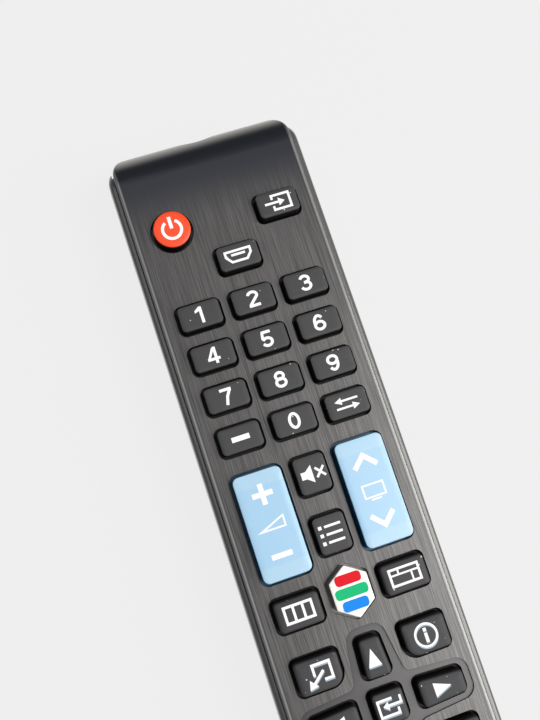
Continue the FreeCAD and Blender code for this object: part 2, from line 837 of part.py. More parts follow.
def add_ribs(body):
    """Cross ribs that follow the inside of the shell and carry the front of the board."""
    root = d("rib_root")
    rib = new_sketch(body, "XZ_Plane", "rib", -FRONT_RIB)
    add_trough(rib, CAVITY_HALF_WIDTH + root, d("shell_floor") - root, CAVITY_ROUND + root, BOARD_UNDER)
    repeat_to_rear(body, pad(body, rib, d("rib_wall")), "rib_row", RIB_SPACING, RIB_COUNT)


def add_bosses(body):
    """Two bosses with a seat for the screw head and a clear hole."""
    spots = [(d("screw_spacing") / 2 * side, SCREW_Y) for side in (-1, 1)]
    bosses = new_sketch(body, "XY_Plane", "bosses", d("door_wall") + d("door_gap"))
    for x, y in spots:
        add_circle(bosses, x, y, d("boss_radius"))
    pad(body, bosses, d("boss_height") - d("door_wall") - d("door_gap"))
    seats = new_sketch(body, "XY_Plane", "head_seats")
    for x, y in spots:
        add_circle(seats, x, y, d("screw_head_radius") + d("screw_clearance"))
    pocket(body, seats, screw_seat(), along_normal=True)
    holes = new_sketch(body, "XY_Plane", "screw_holes")
    for x, y in spots:
        add_circle(holes, x, y, d("screw_radius") + d("screw_clearance"))
    pocket(body, holes, d("boss_height") * 2, along_normal=True)


def screw_seat():
    """Height of the step that a screw head bears on."""
    return d("door_wall") + d("door_gap") * 2 + d("screw_head_height")


def add_door_recess(body):
    """The opening that the door slides into from the rear, with its two grooves."""
    gap = d("door_gap")
    recess = new_sketch(body, "XY_Plane", "door_recess")
    half = DOOR_HALF_WIDTH + gap
    rear = -HALF_LENGTH - d("case_width")
    add_outline(recess, rectangle(-half, half, rear, DOOR_FRONT + gap))
    pocket(body, recess, d("door_wall") + gap, along_normal=True)
    grooves = new_sketch(body, "XY_Plane", "door_grooves", TONGUE_UNDER - gap)
    half = TONGUE_HALF_WIDTH + gap
    add_outline(grooves, rectangle(-half, half, rear, DOOR_FRONT + gap))
    pocket(body, grooves, d("tongue_wall") + gap * 2, along_normal=True)


def make_top_case(keys):
    """The upper shell: the face, its skirts, its end caps and a window for each key."""
    body = doc.addObject("PartDesign::Body", "top_shell")
    profile = new_sketch(body, "YZ_Plane", "profile")
    corner, end_round = d("face_corner"), d("face_end_round")
    add_outline(profile, side_profile(CAP_UNDER, FACE, HALF_LENGTH, None, end_round))
    pad(body, profile, FACE_WIDTH, both_ways=True)
    plan_end = HALF_LENGTH + d("corner_overrun")
    keep_inside(body, "XY_Plane", "plan", centred(FACE_WIDTH, plan_end * 2, corner))
    face_edges = on_profile_edge(HALF_FACE, corner, plan_end, FACE, HALF_LENGTH, end_round)
    round_edges(body, face_edges, d("face_edge_round"))
    inside = new_sketch(body, "YZ_Plane", "inside")
    inner_round = end_round - d("cap_wall")
    below = CAP_UNDER - d("cap_wall")
    add_outline(inside, side_profile(below, UNDER_FACE, CAP_INSIDE, None, inner_round))
    pocket(body, inside, FACE_WIDTH - d("skirt_wall") * 2, both_ways=True)
    under = new_sketch(body, "YZ_Plane", "under_skirts")
    add_outline(under, side_profile(below, SKIRT_UNDER, CAP_INSIDE, None, d("cap_inner_round")))
    pocket(body, under, d("case_width"), both_ways=True)
    posts = new_sketch(body, "XY_Plane", "posts", d("boss_height") + d("post_gap"))
    for side in (-1, 1):
        add_circle(posts, d("screw_spacing") / 2 * side, SCREW_Y, d("post_radius"))
    pad(body, posts, UNDER_FACE + d("post_root") - d("boss_height") - d("post_gap"))
    bores = new_sketch(body, "XY_Plane", "post_bores")
    for side in (-1, 1):
        add_circle(bores, d("screw_spacing") / 2 * side, SCREW_Y, d("screw_radius") + d("screw_fit"))
    pocket(body, bores, screw_seat() + d("screw_length") + d("screw_radius"), along_normal=True)
    add_arrow_recess(body)
    scoop = new_sketch(body, "XY_Plane", "scoop", CAP_UNDER)
    scoop_middle = HALF_LENGTH - d("scoop_depth") + d("scoop_radius")
    add_circle(scoop, ZERO, scoop_middle, d("scoop_radius"))
    pocket(body, scoop, d("case_height"), along_normal=True)
    opening = new_sketch(body, "XZ_Plane", "window_opening", -BOARD_FRONT)
    fit = d("window_fit")
    half = d("window_width") / 2 + fit
    add_outline(opening, rectangle(-half, half, WINDOW_UNDER - fit, WINDOW_TOP + fit))
    pocket(body, opening, HALF_LENGTH - BOARD_FRONT)
    seat = new_sketch(body, "XZ_Plane", "window_seat", -BOARD_FRONT)
    reach = half + d("window_flange")
    lip = d("window_lip") + fit
    add_outline(seat, rectangle(-reach, reach, WINDOW_UNDER - lip, WINDOW_TOP + lip))
    pocket(body, seat, CAP_INSIDE - BOARD_FRONT)
    windows = doc.addObject("Part::Compound", "key_windows")
    windows.Links = [make_key_window(*key) for key in keys]
    case = keep(doc.addObject("Part::Cut", "top_case"), "top_case")
    case.Base = body
    case.Tool = windows


def make_key_window(name, x, y, shape, kind):
    """The block of space that one key stands in, from well under the face to well above it."""
    outline = doc.addObject("Sketcher::SketchObject", f"window_outline_{name}")
    place(outline, x, y, UNDER_FACE - d("face_wall"))
    draw_key_outline(outline, shape, kind, d("key_gap"))
    window = doc.addObject("Part::Extrusion", f"window_{name}")
    window.Base = outline
    window.DirMode = "Normal"
    window.Solid = True
    bind(window, "LengthFwd", d("face_wall") * 3)
    return window


def add_arrow_recess(body):
    """The smooth cross round the arrow keys, a little below the face."""
    sketch = new_sketch(body, "XY_Plane", "arrow_recess", FACE, y=ARROWS)
    tip_x, tip_y = d("recess_half_tip_up"), d("recess_half_tip_side")
    in_x, in_y = d("recess_inner_x"), d("recess_inner_y")
    up = ROW * d("up_rows") + d("up_length") / 2 + d("recess_margin_up")
    across = COLUMN * d("side_columns") + (COLUMN - d("side_gap")) / 2 + d("recess_margin_side")
    tip, inner = d("recess_tip_corner"), d("recess_inner_corner")
    add_outline(sketch, [
        (-tip_x, -up, tip), (tip_x, -up, tip), (in_x, -in_y, inner),
        (across, -tip_y, tip), (across, tip_y, tip), (in_x, in_y, inner),
        (tip_x, up, tip), (-tip_x, up, tip), (-in_x, in_y, inner),
        (-across, tip_y, tip), (-across, -tip_y, tip), (-in_x, -in_y, inner),
    ])
    pocket(body, sketch, d("recess_depth"))


def make_window():
    """The dark infrared window: a block in the end cap with a flange behind it."""
    body = new_body("ir_window")
    front = HALF_LENGTH - d("scoop_depth") + d("window_stand")
    block = new_sketch(body, "XZ_Plane", "block", -front)
    half = d("window_width") / 2
    add_outline(block, rectangle(-half, half, WINDOW_UNDER, WINDOW_TOP, d("window_corner")))
    pad(body, block, front - CAP_INSIDE + d("window_flange"))
    flange = new_sketch(body, "XZ_Plane", "flange", d("lap_gap") - CAP_INSIDE)
    reach = half + d("window_flange")
    lip = d("window_lip")
    add_outline(flange, rectangle(-reach, reach, WINDOW_UNDER - lip, WINDOW_TOP + lip))
    pad(body, flange, d("window_flange"))


def make_door():
    """The battery door: a piece of the back with a tongue along each side."""
    body = new_body("battery_door")
    pad_whole_shell(body)
    keep_inside(body, "YZ_Plane", "side", [
        (-HALF_LENGTH, ZERO, d("back_end_round")),
        (DOOR_FRONT, ZERO, None),
        (DOOR_FRONT, FACE, None),
        (-HALF_LENGTH, FACE, None),
    ])
    half = DOOR_HALF_WIDTH
    low, high = -d("door_wall"), d("door_wall")
    keep_inside(body, "XZ_Plane", "tongues", [
        (-half, low, None), (half, low, None), (half, TONGUE_UNDER, None),
        (TONGUE_HALF_WIDTH, TONGUE_UNDER, None), (TONGUE_HALF_WIDTH, high, None),
        (-TONGUE_HALF_WIDTH, high, None), (-TONGUE_HALF_WIDTH, TONGUE_UNDER, None),
        (-half, TONGUE_UNDER, None),
    ])
    grip = new_sketch(body, "XY_Plane", "grip", y=DOOR_FRONT - d("grip_inset"))
    add_outline(grip, centred(d("grip_width"), d("grip_slot"), d("grip_corner")))
    first = pocket(body, grip, d("grip_depth"), along_normal=True)
    repeat_to_rear(body, first, "grip_row", d("grip_pitch"), GRIP_COUNT)


def make_mat(keys):
    """The rubber sheet on the board, open under each plunger, with a ridge for each rocker."""
    body = new_body("keypad_mat")
    outline = rectangle(-BOARD_HALF_WIDTH, BOARD_HALF_WIDTH, BOARD_REAR, BOARD_FRONT, d("key_corner"))
    sheet = new_sketch(body, "XY_Plane", "sheet_outline", BOARD_TOP)
    add_outline(sheet, outline)
    pad(body, sheet, d("mat_wall"))
    for _, x, y, _, kind in keys:
        if kind == "rocker":
            ridge = new_sketch(body, "XY_Plane", "ridge", MAT_TOP, x, y)
            add_outline(ridge, centred(d("fulcrum_width"), d("fulcrum_length")))
            pad(body, ridge, FLANGE_UNDER - MAT_TOP - d("contact_gap"))
    holes = new_sketch(body, "XY_Plane", "plunger_holes", BOARD_TOP)
    for x, y in contact_places(keys):
        add_circle(holes, x, y, d("plunger_radius") + d("plunger_gap"))
    pocket(body, holes, d("mat_wall"), along_normal=True)


def make_board():
    """The circuit board under the mat."""
    body = new_body("circuit_board")
    outline = rectangle(-BOARD_HALF_WIDTH, BOARD_HALF_WIDTH, BOARD_REAR, BOARD_FRONT, d("key_corner"))
    sheet = new_sketch(body, "XY_Plane", "board_outline", BOARD_UNDER)
    add_outline(sheet, outline)
    pad(body, sheet, d("board_wall"))


def make_cone(name, x, y, low_radius, high_radius):
    """A cone that stands between the mat and a key's flange."""
    cone = doc.addObject("Part::Cone", name)
    bind(cone, "Radius1", low_radius)
    bind(cone, "Radius2", high_radius)
    bind(cone, "Height", FLANGE_UNDER - MAT_TOP)
    place(cone, x, y, MAT_TOP)
    return cone


def make_domes(keys):
    """The thin rubber skirts that hold the keys up and give way when they are pressed."""
    domes = []
    inner_high = d("plunger_radius") + d("dome_clearance")
    inner_low = d("plunger_radius") + d("dome_foot") - d("dome_wall")
    for x, y in contact_places(keys):
        cut = doc.addObject("Part::Cut", "dome")
        cut.Base = make_cone("dome_outside", x, y, inner_low + d("dome_wall"), inner_high + d("dome_wall"))
        cut.Tool = make_cone("dome_inside", x, y, inner_low, inner_high)
        domes.append(cut)
    group = keep(doc.addObject("Part::Compound", "key_domes"), "key_domes")
    group.Links = domes


def make_cells():
    """Two cells side by side, the left one with its nub forward and the right one turned round."""
    for side, name in ((-1, "aaa_cell_left"), (1, "aaa_cell_right")):
        body = new_body(name)
        place(body, CELL_COLUMN * side, BAY_MIDDLE, CELL_AXIS)
        half = d("cell_length") / 2
        radius = d("cell_diameter") / 2
        nub = d("nub_diameter") / 2
        shoulder = half - d("nub_length")
        ends = [
            (ZERO, -half, None), (radius, -half, None), (radius, shoulder, None),
            (nub, shoulder, None), (nub, half, None), (ZERO, half, None),
        ]
        if side == 1:
            ends = [(x, -y, radius) for x, y, radius in reversed(ends)]
        turn(body, "XY_Plane", ends)


def leaf_outline(wall, facing, top):
    """A strip against a wall, bent at its foot into a leaf that reaches to the cell."""
    strip = wall + d("strip_wall") * facing
    tip = wall + (d("contact_reach") - d("contact_slack")) * facing
    foot = d("strip_foot")
    leaf = d("leaf_wall")
    corners = [
        (wall, top, None), (wall, foot, None), (tip, CELL_AXIS - leaf / 2, None),
        (tip, CELL_AXIS + leaf / 2, None), (strip, foot + leaf, None), (strip, top, None),
    ]
    return corners if facing == 1 else corners[::-1]


def make_contacts():
    """The two terminals at the front of the bay and the bridge at its rear."""
    for side, name, width in (
        (-1, "terminal_positive", d("positive_leaf_width")),
        (1, "terminal_negative", d("negative_leaf_width")),
    ):
        body = new_body(name)
        place(body, CELL_COLUMN * side)
        strip = new_sketch(body, "YZ_Plane", "strip")
        add_outline(strip, leaf_outline(BAY_FRONT, -1, BAY_ROOF - d("bay_clearance")))
        pad(body, strip, width, both_ways=True)
        tab = new_sketch(body, "YZ_Plane", "tab")
        add_outline(tab, rectangle(BAY_FRONT - d("strip_wall"), BAY_FRONT, CELL_AXIS, BOARD_UNDER))
        pad(body, tab, d("positive_leaf_width"), both_ways=True)
    bridge = new_body("battery_bridge")
    strip = new_sketch(bridge, "YZ_Plane", "strip")
    add_outline(strip, leaf_outline(BAY_REAR, 1, BAY_ROOF - d("bay_clearance")))
    whole = CELL_COLUMN * 2 + d("negative_leaf_width")
    pad(bridge, strip, whole, both_ways=True)
    between = new_sketch(bridge, "YZ_Plane", "between_leaves")
    front = BAY_REAR + d("contact_reach")
    add_outline(between, rectangle(BAY_REAR + d("strip_wall"), front, ZERO, BAY_ROOF))
    pocket(bridge, between, CELL_COLUMN * 2 - d("negative_leaf_width"), both_ways=True)


def make_screws():
    """The two case screws, driven up from under the door."""
    screws = []
    for side in (-1, 1):
        body = doc.addObject("PartDesign::Body", "screw")
        place(body, d("screw_spacing") / 2 * side, SCREW_Y, screw_seat())
        head, shank = d("screw_head_radius"), d("screw_radius")
        low, high = -d("screw_head_height"), d("screw_length")
        turn(body, "XZ_Plane", [
            (ZERO, low, None), (head, low, None), (head, ZERO, None),
            (shank, ZERO, None), (shank, high - shank, None), (ZERO, high, None),
        ])
        for name, width, length in (
            ("slot_across", d("drive_length"), d("drive_width")),
            ("slot_along", d("drive_width"), d("drive_length")),
        ):
            slot = new_sketch(body, "XY_Plane", name, low)
            add_outline(slot, centred(width, length))
            pocket(body, slot, d("drive_depth"), along_normal=True)
        screws.append(body)
    group = keep(doc.addObject("Part::Compound", "case_screws"), "case_screws")
    group.Links = screws


def make_box(name, length, width, height, x, y, z):
    """A block whose low corner is at x, y, z."""
    box = doc.addObject("Part::Box", name)
    bind(box, "Length", length)
    bind(box, "Width", width)
    bind(box, "Height", height)
    place(box, x, y, z)
    return box


def make_cylinder(name, radius, height, x, y, z):
    """A cylinder along Y that starts at y and ends further forward."""
    cylinder = doc.addObject("Part::Cylinder", name)
    bind(cylinder, "Radius", radius)
    bind(cylinder, "Height", height)
    cylinder.Placement.Rotation = FreeCAD.Rotation(FreeCAD.Vector(1, 0, 0), -90)
    place(cylinder, x, y, z)
    return cylinder


def make_diode():
    """The infrared diode behind the window, with its two leads up to the board."""
    radius = d("diode_diameter") / 2
    tip = CAP_INSIDE - d("lap_gap") - d("window_flange") - d("diode_gap")
    straight = d("diode_length") - radius
    start = tip - d("diode_length")
    axis = WINDOW_AXIS
    wire = d("lead_wire")
    pieces = [make_cylinder("diode_barrel", radius, straight, ZERO, start, axis)]
    lens = doc.addObject("Part::Sphere", "diode_lens")
    bind(lens, "Radius", radius)
    place(lens, ZERO, start + straight, axis)
    pieces.append(lens)
    rim = make_cylinder("diode_rim", radius + d("diode_rim"), d("diode_rim_length"), ZERO, start, axis)
    pieces.append(rim)
    back = BOARD_FRONT - d("lead_inset")
    low = axis - wire / 2
    for side in (-1, 1):
        x = d("lead_pitch") / 2 * side - wire / 2
        pieces.append(make_box("lead", wire, start + wire - back, wire, x, back, low))
        pieces.append(make_box("lead_end", wire, wire, BOARD_UNDER - low, x, back, low))
    diode = keep(doc.addObject("Part::MultiFuse", "ir_led"), "ir_led")
    diode.Shapes = pieces


def between_ribs(index, length):
    """Where a part of some length starts so that it is midway between a rib and the next one forward."""
    return REAR_RIB + RIB_SPACING * index + (RIB_SPACING - d("rib_wall") - length) / 2


def make_board_parts():
    """The chip with its pins, and the other parts under the board, each midway between two ribs."""
    base = BOARD_UNDER - d("chip_height")
    length, width, height = d("chip_length"), d("chip_width"), d("chip_height")
    chip_y = between_ribs(0, length)
    block_height = height - d("chip_standoff")
    pieces = [make_box("chip_block", width, length, block_height, -width / 2, chip_y, base)]
    span = d("pin_pitch") * (PINS_PER_SIDE - 1)
    for side in (-1, 1):
        x = width / 2 if side == 1 else -width / 2 - d("pin_reach")
        for index in range(PINS_PER_SIDE):
            y = chip_y + length / 2 - span / 2 + d("pin_pitch") * index - d("pin_wall") / 2
            z = BOARD_UNDER - height / 2
            pieces.append(make_box("pin", d("pin_reach"), d("pin_wall"), height / 2, x, y, z))
    chip = keep(doc.addObject("Part::MultiFuse", "controller_chip"), "controller_chip")
    chip.Shapes = pieces
    radius, length = d("capacitor_diameter") / 2, d("capacitor_length")
    aside = d("capacitor_aside")
    loose = [make_cylinder("capacitor", radius, length, aside, between_ribs(0, length), BOARD_UNDER - radius)]
    size = (d("resonator_length"), d("resonator_width"), d("resonator_height"))
    loose.append(make_box("resonator", *size, -size[0] / 2, between_ribs(1, size[1]), BOARD_UNDER - size[2]))
    size = (d("resistor_length"), d("resistor_width"), d("resistor_height"))
    for index in range(RESISTOR_COUNT):
        x = d("resistor_pitch") * (index - RESISTOR_COUNT / 2)
        loose.append(make_box("resistor", *size, x, between_ribs(2, size[1]), BOARD_UNDER - size[2]))
    group = keep(doc.addObject("Part::Compound", "board_parts"), "board_parts")
    group.Links = loose


def check():
    """Stops when a feature failed, a shape is bad or a cut removed nothing."""
    for item in doc.Objects:
        state = [word for word in item.State if word in ("Invalid", "Error")]
        if state:
            raise RuntimeError(f"{item.Name} is {state}")
    for item in parts:
        if item.Shape.isNull() or not item.Shape.isValid():
            raise RuntimeError(f"{item.Label} has no valid shape")
    for cut in cuts:
        before = cut.BaseFeature.Shape.Volume
        if cut.Shape.Volume >= before - SAME ** 3:
            raise RuntimeError(f"{cut.Name} under {cut.Profile[0].Label} cut nothing")


def write():
    """Writes each sub-part to its own file."""
    os.makedirs("parts", exist_ok=True)
    for item in parts:
        item.Shape.exportStep(f"parts/{item.Label}.step")
        print(item.Label, len(item.Shape.Solids), round(item.Shape.Volume, 2))


make_sheet()
KEYS = key_list()
make_bottom_case()
make_top_case(KEYS)
make_window()
make_door()
make_mat(KEYS)
make_board()
make_domes(KEYS)
make_cells()
make_contacts()
make_screws()
make_diode()
make_board_parts()
make_keys(KEYS)
doc.recompute()
check()
write()
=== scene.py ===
"""Finishes, key caps, printed figures, stage and camera of a television remote control."""

import math

import bpy
import numpy as np
from bpy.props import FloatProperty, FloatVectorProperty, IntProperty, PointerProperty
from mathutils import Matrix, Vector


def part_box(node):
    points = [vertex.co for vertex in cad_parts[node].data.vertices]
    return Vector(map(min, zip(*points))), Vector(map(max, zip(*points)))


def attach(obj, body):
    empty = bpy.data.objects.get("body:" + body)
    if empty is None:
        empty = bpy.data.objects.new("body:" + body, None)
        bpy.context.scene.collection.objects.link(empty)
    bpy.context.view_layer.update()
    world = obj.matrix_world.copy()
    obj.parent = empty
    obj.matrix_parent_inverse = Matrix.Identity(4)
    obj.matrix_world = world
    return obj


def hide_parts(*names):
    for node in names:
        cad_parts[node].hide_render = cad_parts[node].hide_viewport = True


bl_info = {
    "name": "Remote Control Finishes",
    "version": (1, 0, 0),
    "blender": (4, 5, 0),
    "location": "View3D > Sidebar > Remote",
    "description": "Key caps, printed figures, finishes and stage of a television remote control",
    "category": "Object",
}

MM = 0.001

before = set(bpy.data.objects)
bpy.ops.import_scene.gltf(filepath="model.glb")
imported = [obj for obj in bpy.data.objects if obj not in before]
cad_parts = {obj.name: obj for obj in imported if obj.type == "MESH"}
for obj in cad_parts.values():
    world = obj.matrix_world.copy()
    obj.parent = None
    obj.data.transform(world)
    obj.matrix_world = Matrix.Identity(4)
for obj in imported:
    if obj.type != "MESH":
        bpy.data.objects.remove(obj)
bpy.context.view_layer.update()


def linear(colour):
    """The linear red, green, blue and alpha of an sRGB colour written as #rrggbb."""
    channels = [int(colour[start:start + 2], 16) / 255 for start in (1, 3, 5)]
    return [c / 12.92 if c <= 0.04045 else ((c + 0.055) / 1.055) ** 2.4 for c in channels] + [1.0]


def length(name, description, millimetres):
    """A size that the user can change, kept in metres."""
    return FloatProperty(name=name, description=description, default=millimetres * MM,
                         unit="LENGTH", precision=5)


def spot(name, description, *millimetres):
    """A place that the user can change, kept in metres."""
    return FloatVectorProperty(name=name, description=description, subtype="TRANSLATION", unit="LENGTH",
                               precision=5, default=[value * MM for value in millimetres])


def colour(name, description, code):
    """A colour that the user can change."""
    return FloatVectorProperty(name=name, description=description, subtype="COLOR", size=4, min=0, max=1,
                               default=linear(code))


# Sizes and colours


class ShellSettings(bpy.types.PropertyGroup):
    """The case and its finishes."""
    face: colour("Face", "Hairline-brushed face", "#515050")
    # Painted shade: this dark colour stands for the dim room mirrored in the front curve; a share of it
    # also darkens the groove along both sides.
    front: colour("Front", "The face where it turns down over the front end", "#303239")
    recess: colour("Recess", "Smooth cross round the arrow keys", "#454445")
    shell: colour("Shell", "Moulded lower case and battery door", "#4d4d4b")
    # Painted highlight: this light colour stands for the highlight on the rounded edge along both sides of
    # the face.
    bevel: colour("Bevel", "Polished bevel along both sides of the face", "#848483")
    # Painted reflection: this light strip stands for the bright surroundings mirrored where the front curve
    # faces forward.
    brow: colour("Brow", "Light strip on the steep end of the front curve", "#bdbab2")
    hairline: length("Hairline", "Width of one brushed line", 0.14)
    contrast: FloatProperty(name="Contrast", description="How much the brushed lines differ", default=0.44)
    scoop_radius: length("Scoop radius", "Radius of the hollow in the front end", 10.0)
    scoop_reach: length("Scoop reach", "How far the middle of the hollow lies before the front end", 8.2)
    stroke: length("Stroke", "Length of one brushed line", 13.0)
    fade_from: length("Fade from", "How far behind the front end the brush starts to fade", 24.0)
    fade_to: length("Fade to", "How far behind the front end the brush has gone", 10.0)
    recess_from: length("Recess from", "Depth under the top at which the paint of the cross starts", 0.4)
    recess_to: length("Recess to", "Depth under the top at which the paint of the cross ends", 0.52)
    bevel_inner: length("Bevel inner", "From the side of the top case to where the bevel starts", 0.95)
    bevel_outer: length("Bevel outer", "From the side of the top case to where the bevel is full", 0.55)
    groove_inner: length("Groove inner", "From the side of the top case to the groove's inner edge", 1.2)
    groove_outer: length("Groove outer", "From the side of the top case to the groove's outer edge", 0.9)
    brow_reach: length("Brow reach", "How far behind the front end the light strip reaches", 9.0)
    # Painted shade: the cut walls and the wall of the front hollow are painted near black for the shade in
    # them.
    cut_front: length("Cut front", "Cut walls lie farther behind the front end than this", 9.3)
    cut_side: length("Cut side", "Cut walls lie farther in from the side than this", 1.5)
    scoop_margin: length("Scoop margin", "How far round the hollow its dark wall reaches", 0.12)
    crease: length("Crease", "Reach of the shade in corners", 1.2)
    grain: length("Grain", "Grain of the spark-eroded mould", 0.15)
    sharp: FloatProperty(name="Sharp", description="Angle from which an edge stays sharp",
                         default=math.radians(28), unit="ROTATION")


class KeySettings(bpy.types.PropertyGroup):
    """The key caps."""
    rubber: colour("Rubber", "Lacquered silicone of the dark keys", "#3c3c3e")
    low_rubber: colour("Low rubber", "Darker lacquer of the keys round and behind the arrow keys",
                       "#37373a")
    # Painted shade: this near-black stands for the shade on the keys' side walls in the gaps round them and
    # on the edge of each key that leans towards the front.
    wall: colour("Wall", "Bare rubber of the keys' side walls", "#0c0c0d")
    power: colour("Power", "Power key", "#fb4b18")
    rocker: colour("Rocker", "Milky blue of the rocking keys", "#a6ceea")
    # Painted highlight: this paler colour on a band at both ends of a rocking key.
    rocker_end: colour("Rocker end", "Lighter band at both ends of a rocking key", "#aed3ea")
    flange: length("Flange", "How far the hidden flange stands out round a key", 0.9)
    flange_drop: length("Flange drop", "From the top of a key down to its flange", 5.1)
    flange_wall: length("Flange wall", "Thickness of the flange", 1.4)
    rocker_flange_wall: length("Rocker flange wall", "Thickness of a rocking key's flange", 1.0)
    corner: length("Corner", "Rounding of a key's corners in plan", 1.1)
    big_corner: length("Big corner", "Rounding of the corner that faces the arrow pad", 3.0)
    rocker_corner: length("Rocker corner", "Rounding of a rocking key's corners", 1.5)
    edge: length("Edge", "Rounding of a key's top edge", 0.26)
    soft_edge: length("Soft edge", "Rounding of the lower keys' top edges", 0.7)
    lean: length("Lean", "How much more the lower keys are rounded at their front than at their rear", 0.48)
    soft_from: length("Soft from", "Keys nearer to the rear than this have the soft edge", -3.0)
    crown: length("Crown", "How much a key's middle stands above its rim", 0.08)
    level: FloatProperty(name="Level", description="Share of a key's top that is level", default=0.8,
                         subtype="FACTOR")
    print_gap: length("Print gap", "From the highest point of a cap up to that of the solid key", 0.04)
    plunger: length("Plunger", "Radius of a plunger under a key", 1.6)
    rocker_plungers: length("Rocker plungers", "Distance between the two plungers of a rocking key", 17.0)
    rocker_band: length("Rocker band", "Length of the lighter band", 3.4)
    hexagon_side: length("Hexagon side", "Length of the upright sides of the six-sided key", 6.2)
    hexagon_length: length("Hexagon length", "Length of the six-sided key", 12.3)
    hexagon_corner: length("Hexagon corner", "Rounding of the six-sided key's corners", 0.5)
    taper: FloatProperty(name="Taper", description="Outer width of an arrow key over its inner width",
                         default=0.80, subtype="FACTOR")
    steps: IntProperty(name="Steps", description="Steps round each corner", default=8)
    rings: IntProperty(name="Rings", description="Rings over the crown of a cap", default=4)


class PrintSettings(bpy.types.PropertyGroup):
    """The figures and symbols on the keys."""
    ink: colour("Ink", "White ink", "#ffffff")
    # Painted shadow: the shade colour is a copy of each symbol on the lower keys, moved towards the rear by
    # the shade drop and laid just under the white ink.
    shade: colour("Shade", "Side of the deep print on the lower keys", "#9fb0bb")
    digit_pen: length("Digit pen", "Width of the numbers' lines", 0.68)
    pen: length("Pen", "Width of a symbol's lines", 0.48)
    lift: length("Lift", "Height of the ink over the key", 0.02)
    layer: length("Layer", "Height of each stroke over the one before", 0.001)
    ink_depth: length("Ink depth", "Thickness of the ink, which sinks into the key", 0.05)
    shade_drop: length("Shade drop", "How far the side of the deep print shows", 0.34)
    shade_from: length("Shade from", "The deep print is on keys nearer to the rear than this", -5.0)


class StageSettings(bpy.types.PropertyGroup):
    """Floor, light and camera."""
    floor: colour("Floor", "Paint of the lit floor sheet", "#3a3a3a")
    floor_size: length("Floor size", "Side of the floor", 6000.0)
    floor_gap: length("Floor gap", "How far the floor lies under the resting face", 0.05)
    lens: FloatProperty(name="Lens", description="Focal length for a 36 mm frame", default=49.33)
    camera_across: length("Camera across", "Camera's place along X", -31.80)
    camera_along: length("Camera along", "Camera's place along Y", 16.86)
    camera_up: length("Camera up", "Camera's height", 249.72)
    look_across: length("Look across", "Where the camera looks on the face, along X", -0.52)
    look_along: length("Look along", "Where the camera looks on the face, along Y", 48.14)
    look_up: length("Look up", "Height of the face that the camera looks at", 21.0)
    roll: FloatProperty(name="Roll", description="Turn of the camera about its view",
                        default=math.radians(18.6), unit="ROTATION")
    key_power: FloatProperty(name="Key light", description="Power of the soft box",
                             default=11.4, unit="POWER")
    key_wide: length("Key wide", "Width of the soft box", 650.0)
    key_high: length("Key high", "Height of the soft box", 900.0)
    key_place: spot("Key place", "Middle of the soft box", 520.0, -180.0, 740.0)
    fill_power: FloatProperty(name="Fill", description="Power of the fill card", default=0.9, unit="POWER")
    fill_side: length("Fill side", "Side of the fill card", 600.0)
    fill_place: spot("Fill place", "Middle of the fill card", -150.0, 280.0, 750.0)
    lamp: colour("Lamp", "Colour of both lights", "#fffdfa")
    room: colour("Room", "Dim room round the table", "#5c5e64")
    glow: FloatProperty(name="Glow", description="Light that the floor sheet gives by itself", default=0.82)


# Meshes: shapes worked out on grids


def arc(middle, radius, start, end, steps=16):
    """Points on an arc: middle + radius (cos a, sin a), a going evenly from start to end in degrees."""
    angles = np.radians(np.linspace(start, end, steps + 1))
    radii = np.broadcast_to(radius, 2)
    return np.column_stack([middle[0] + radii[0] * np.cos(angles), middle[1] + radii[1] * np.sin(angles)])


def outline_arcs(corners, steps):
    """Middles, radii and directions of the arcs that round a convex outline.

    A corner's arc turns from the outward normal of the side before to that of the side after,
    and its middle lies r (n1 + n2) / (1 + n1.n2) inside the corner, so the point at angle a
    of the outline drawn in by i is middle + (r - i) (cos a, sin a)."""
    points = np.array([corner[:2] for corner in corners])
    radii = np.array([corner[2] for corner in corners])
    after = np.roll(points, -1, 0) - points
    after /= np.linalg.norm(after, axis=1, keepdims=True)
    before = np.roll(after, 1, 0)
    n_before = np.column_stack([before[:, 1], -before[:, 0]])
    n_after = np.column_stack([after[:, 1], -after[:, 0]])
    cosine = np.sum(n_before * n_after, axis=1, keepdims=True)
    middles = points - radii[:, None] * (n_before + n_after) / (1 + cosine)
    start = np.arctan2(n_before[:, 1], n_before[:, 0])
    turn = np.arccos(np.clip(cosine[:, 0], -1, 1))
    angles = start[:, None] + turn[:, None] * np.linspace(0, 1, steps + 1)
    directions = np.stack([np.cos(angles), np.sin(angles)], -1)
    spread = np.repeat(middles, steps + 1, 0)
    return spread, np.repeat(radii, steps + 1), directions.reshape(-1, 2)


def rings(corners, inset, scale, height, steps):
    """A profile carried round an outline: ring j is the outline drawn in by inset[j],
    shrunk to scale[j] about its middle and put at height[j]."""
    middles, radii, directions = outline_arcs(corners, steps)
    plan = middles[None] + (radii[None, :, None] - inset[:, None, None]) * directions[None]
    plan *= scale[:, None, None]
    level = np.broadcast_to(height[:, None, None], plan.shape[:2] + (1,))
    return np.concatenate([plan, level], -1)


def turned(radius, height, middle, steps):
    """A profile turned about an upright axis: (x, y, z) = (r cos a, r sin a, h) from its middle."""
    angles = np.linspace(0, 2 * math.pi, steps, endpoint=False)
    circle = np.column_stack([np.cos(angles), np.sin(angles)])
    plan = radius[:, None, None] * circle[None] + np.array(middle)
    level = np.broadcast_to(height[:, None, None], plan.shape[:2] + (1,))
    return np.concatenate([plan, level], -1)


def stack_faces(points, start):
    """Four-sided faces between each ring and the next, and a face that closes each end."""
    count, around = points.shape[:2]
    index = np.arange(count * around).reshape(count, around) + start
    low, high = index[:-1], index[1:]
    sides = np.stack([low, np.roll(low, -1, 1), np.roll(high, -1, 1), high], -1).reshape(-1, 4)
    return sides.tolist() + [index[0][::-1].tolist(), index[-1].tolist()]


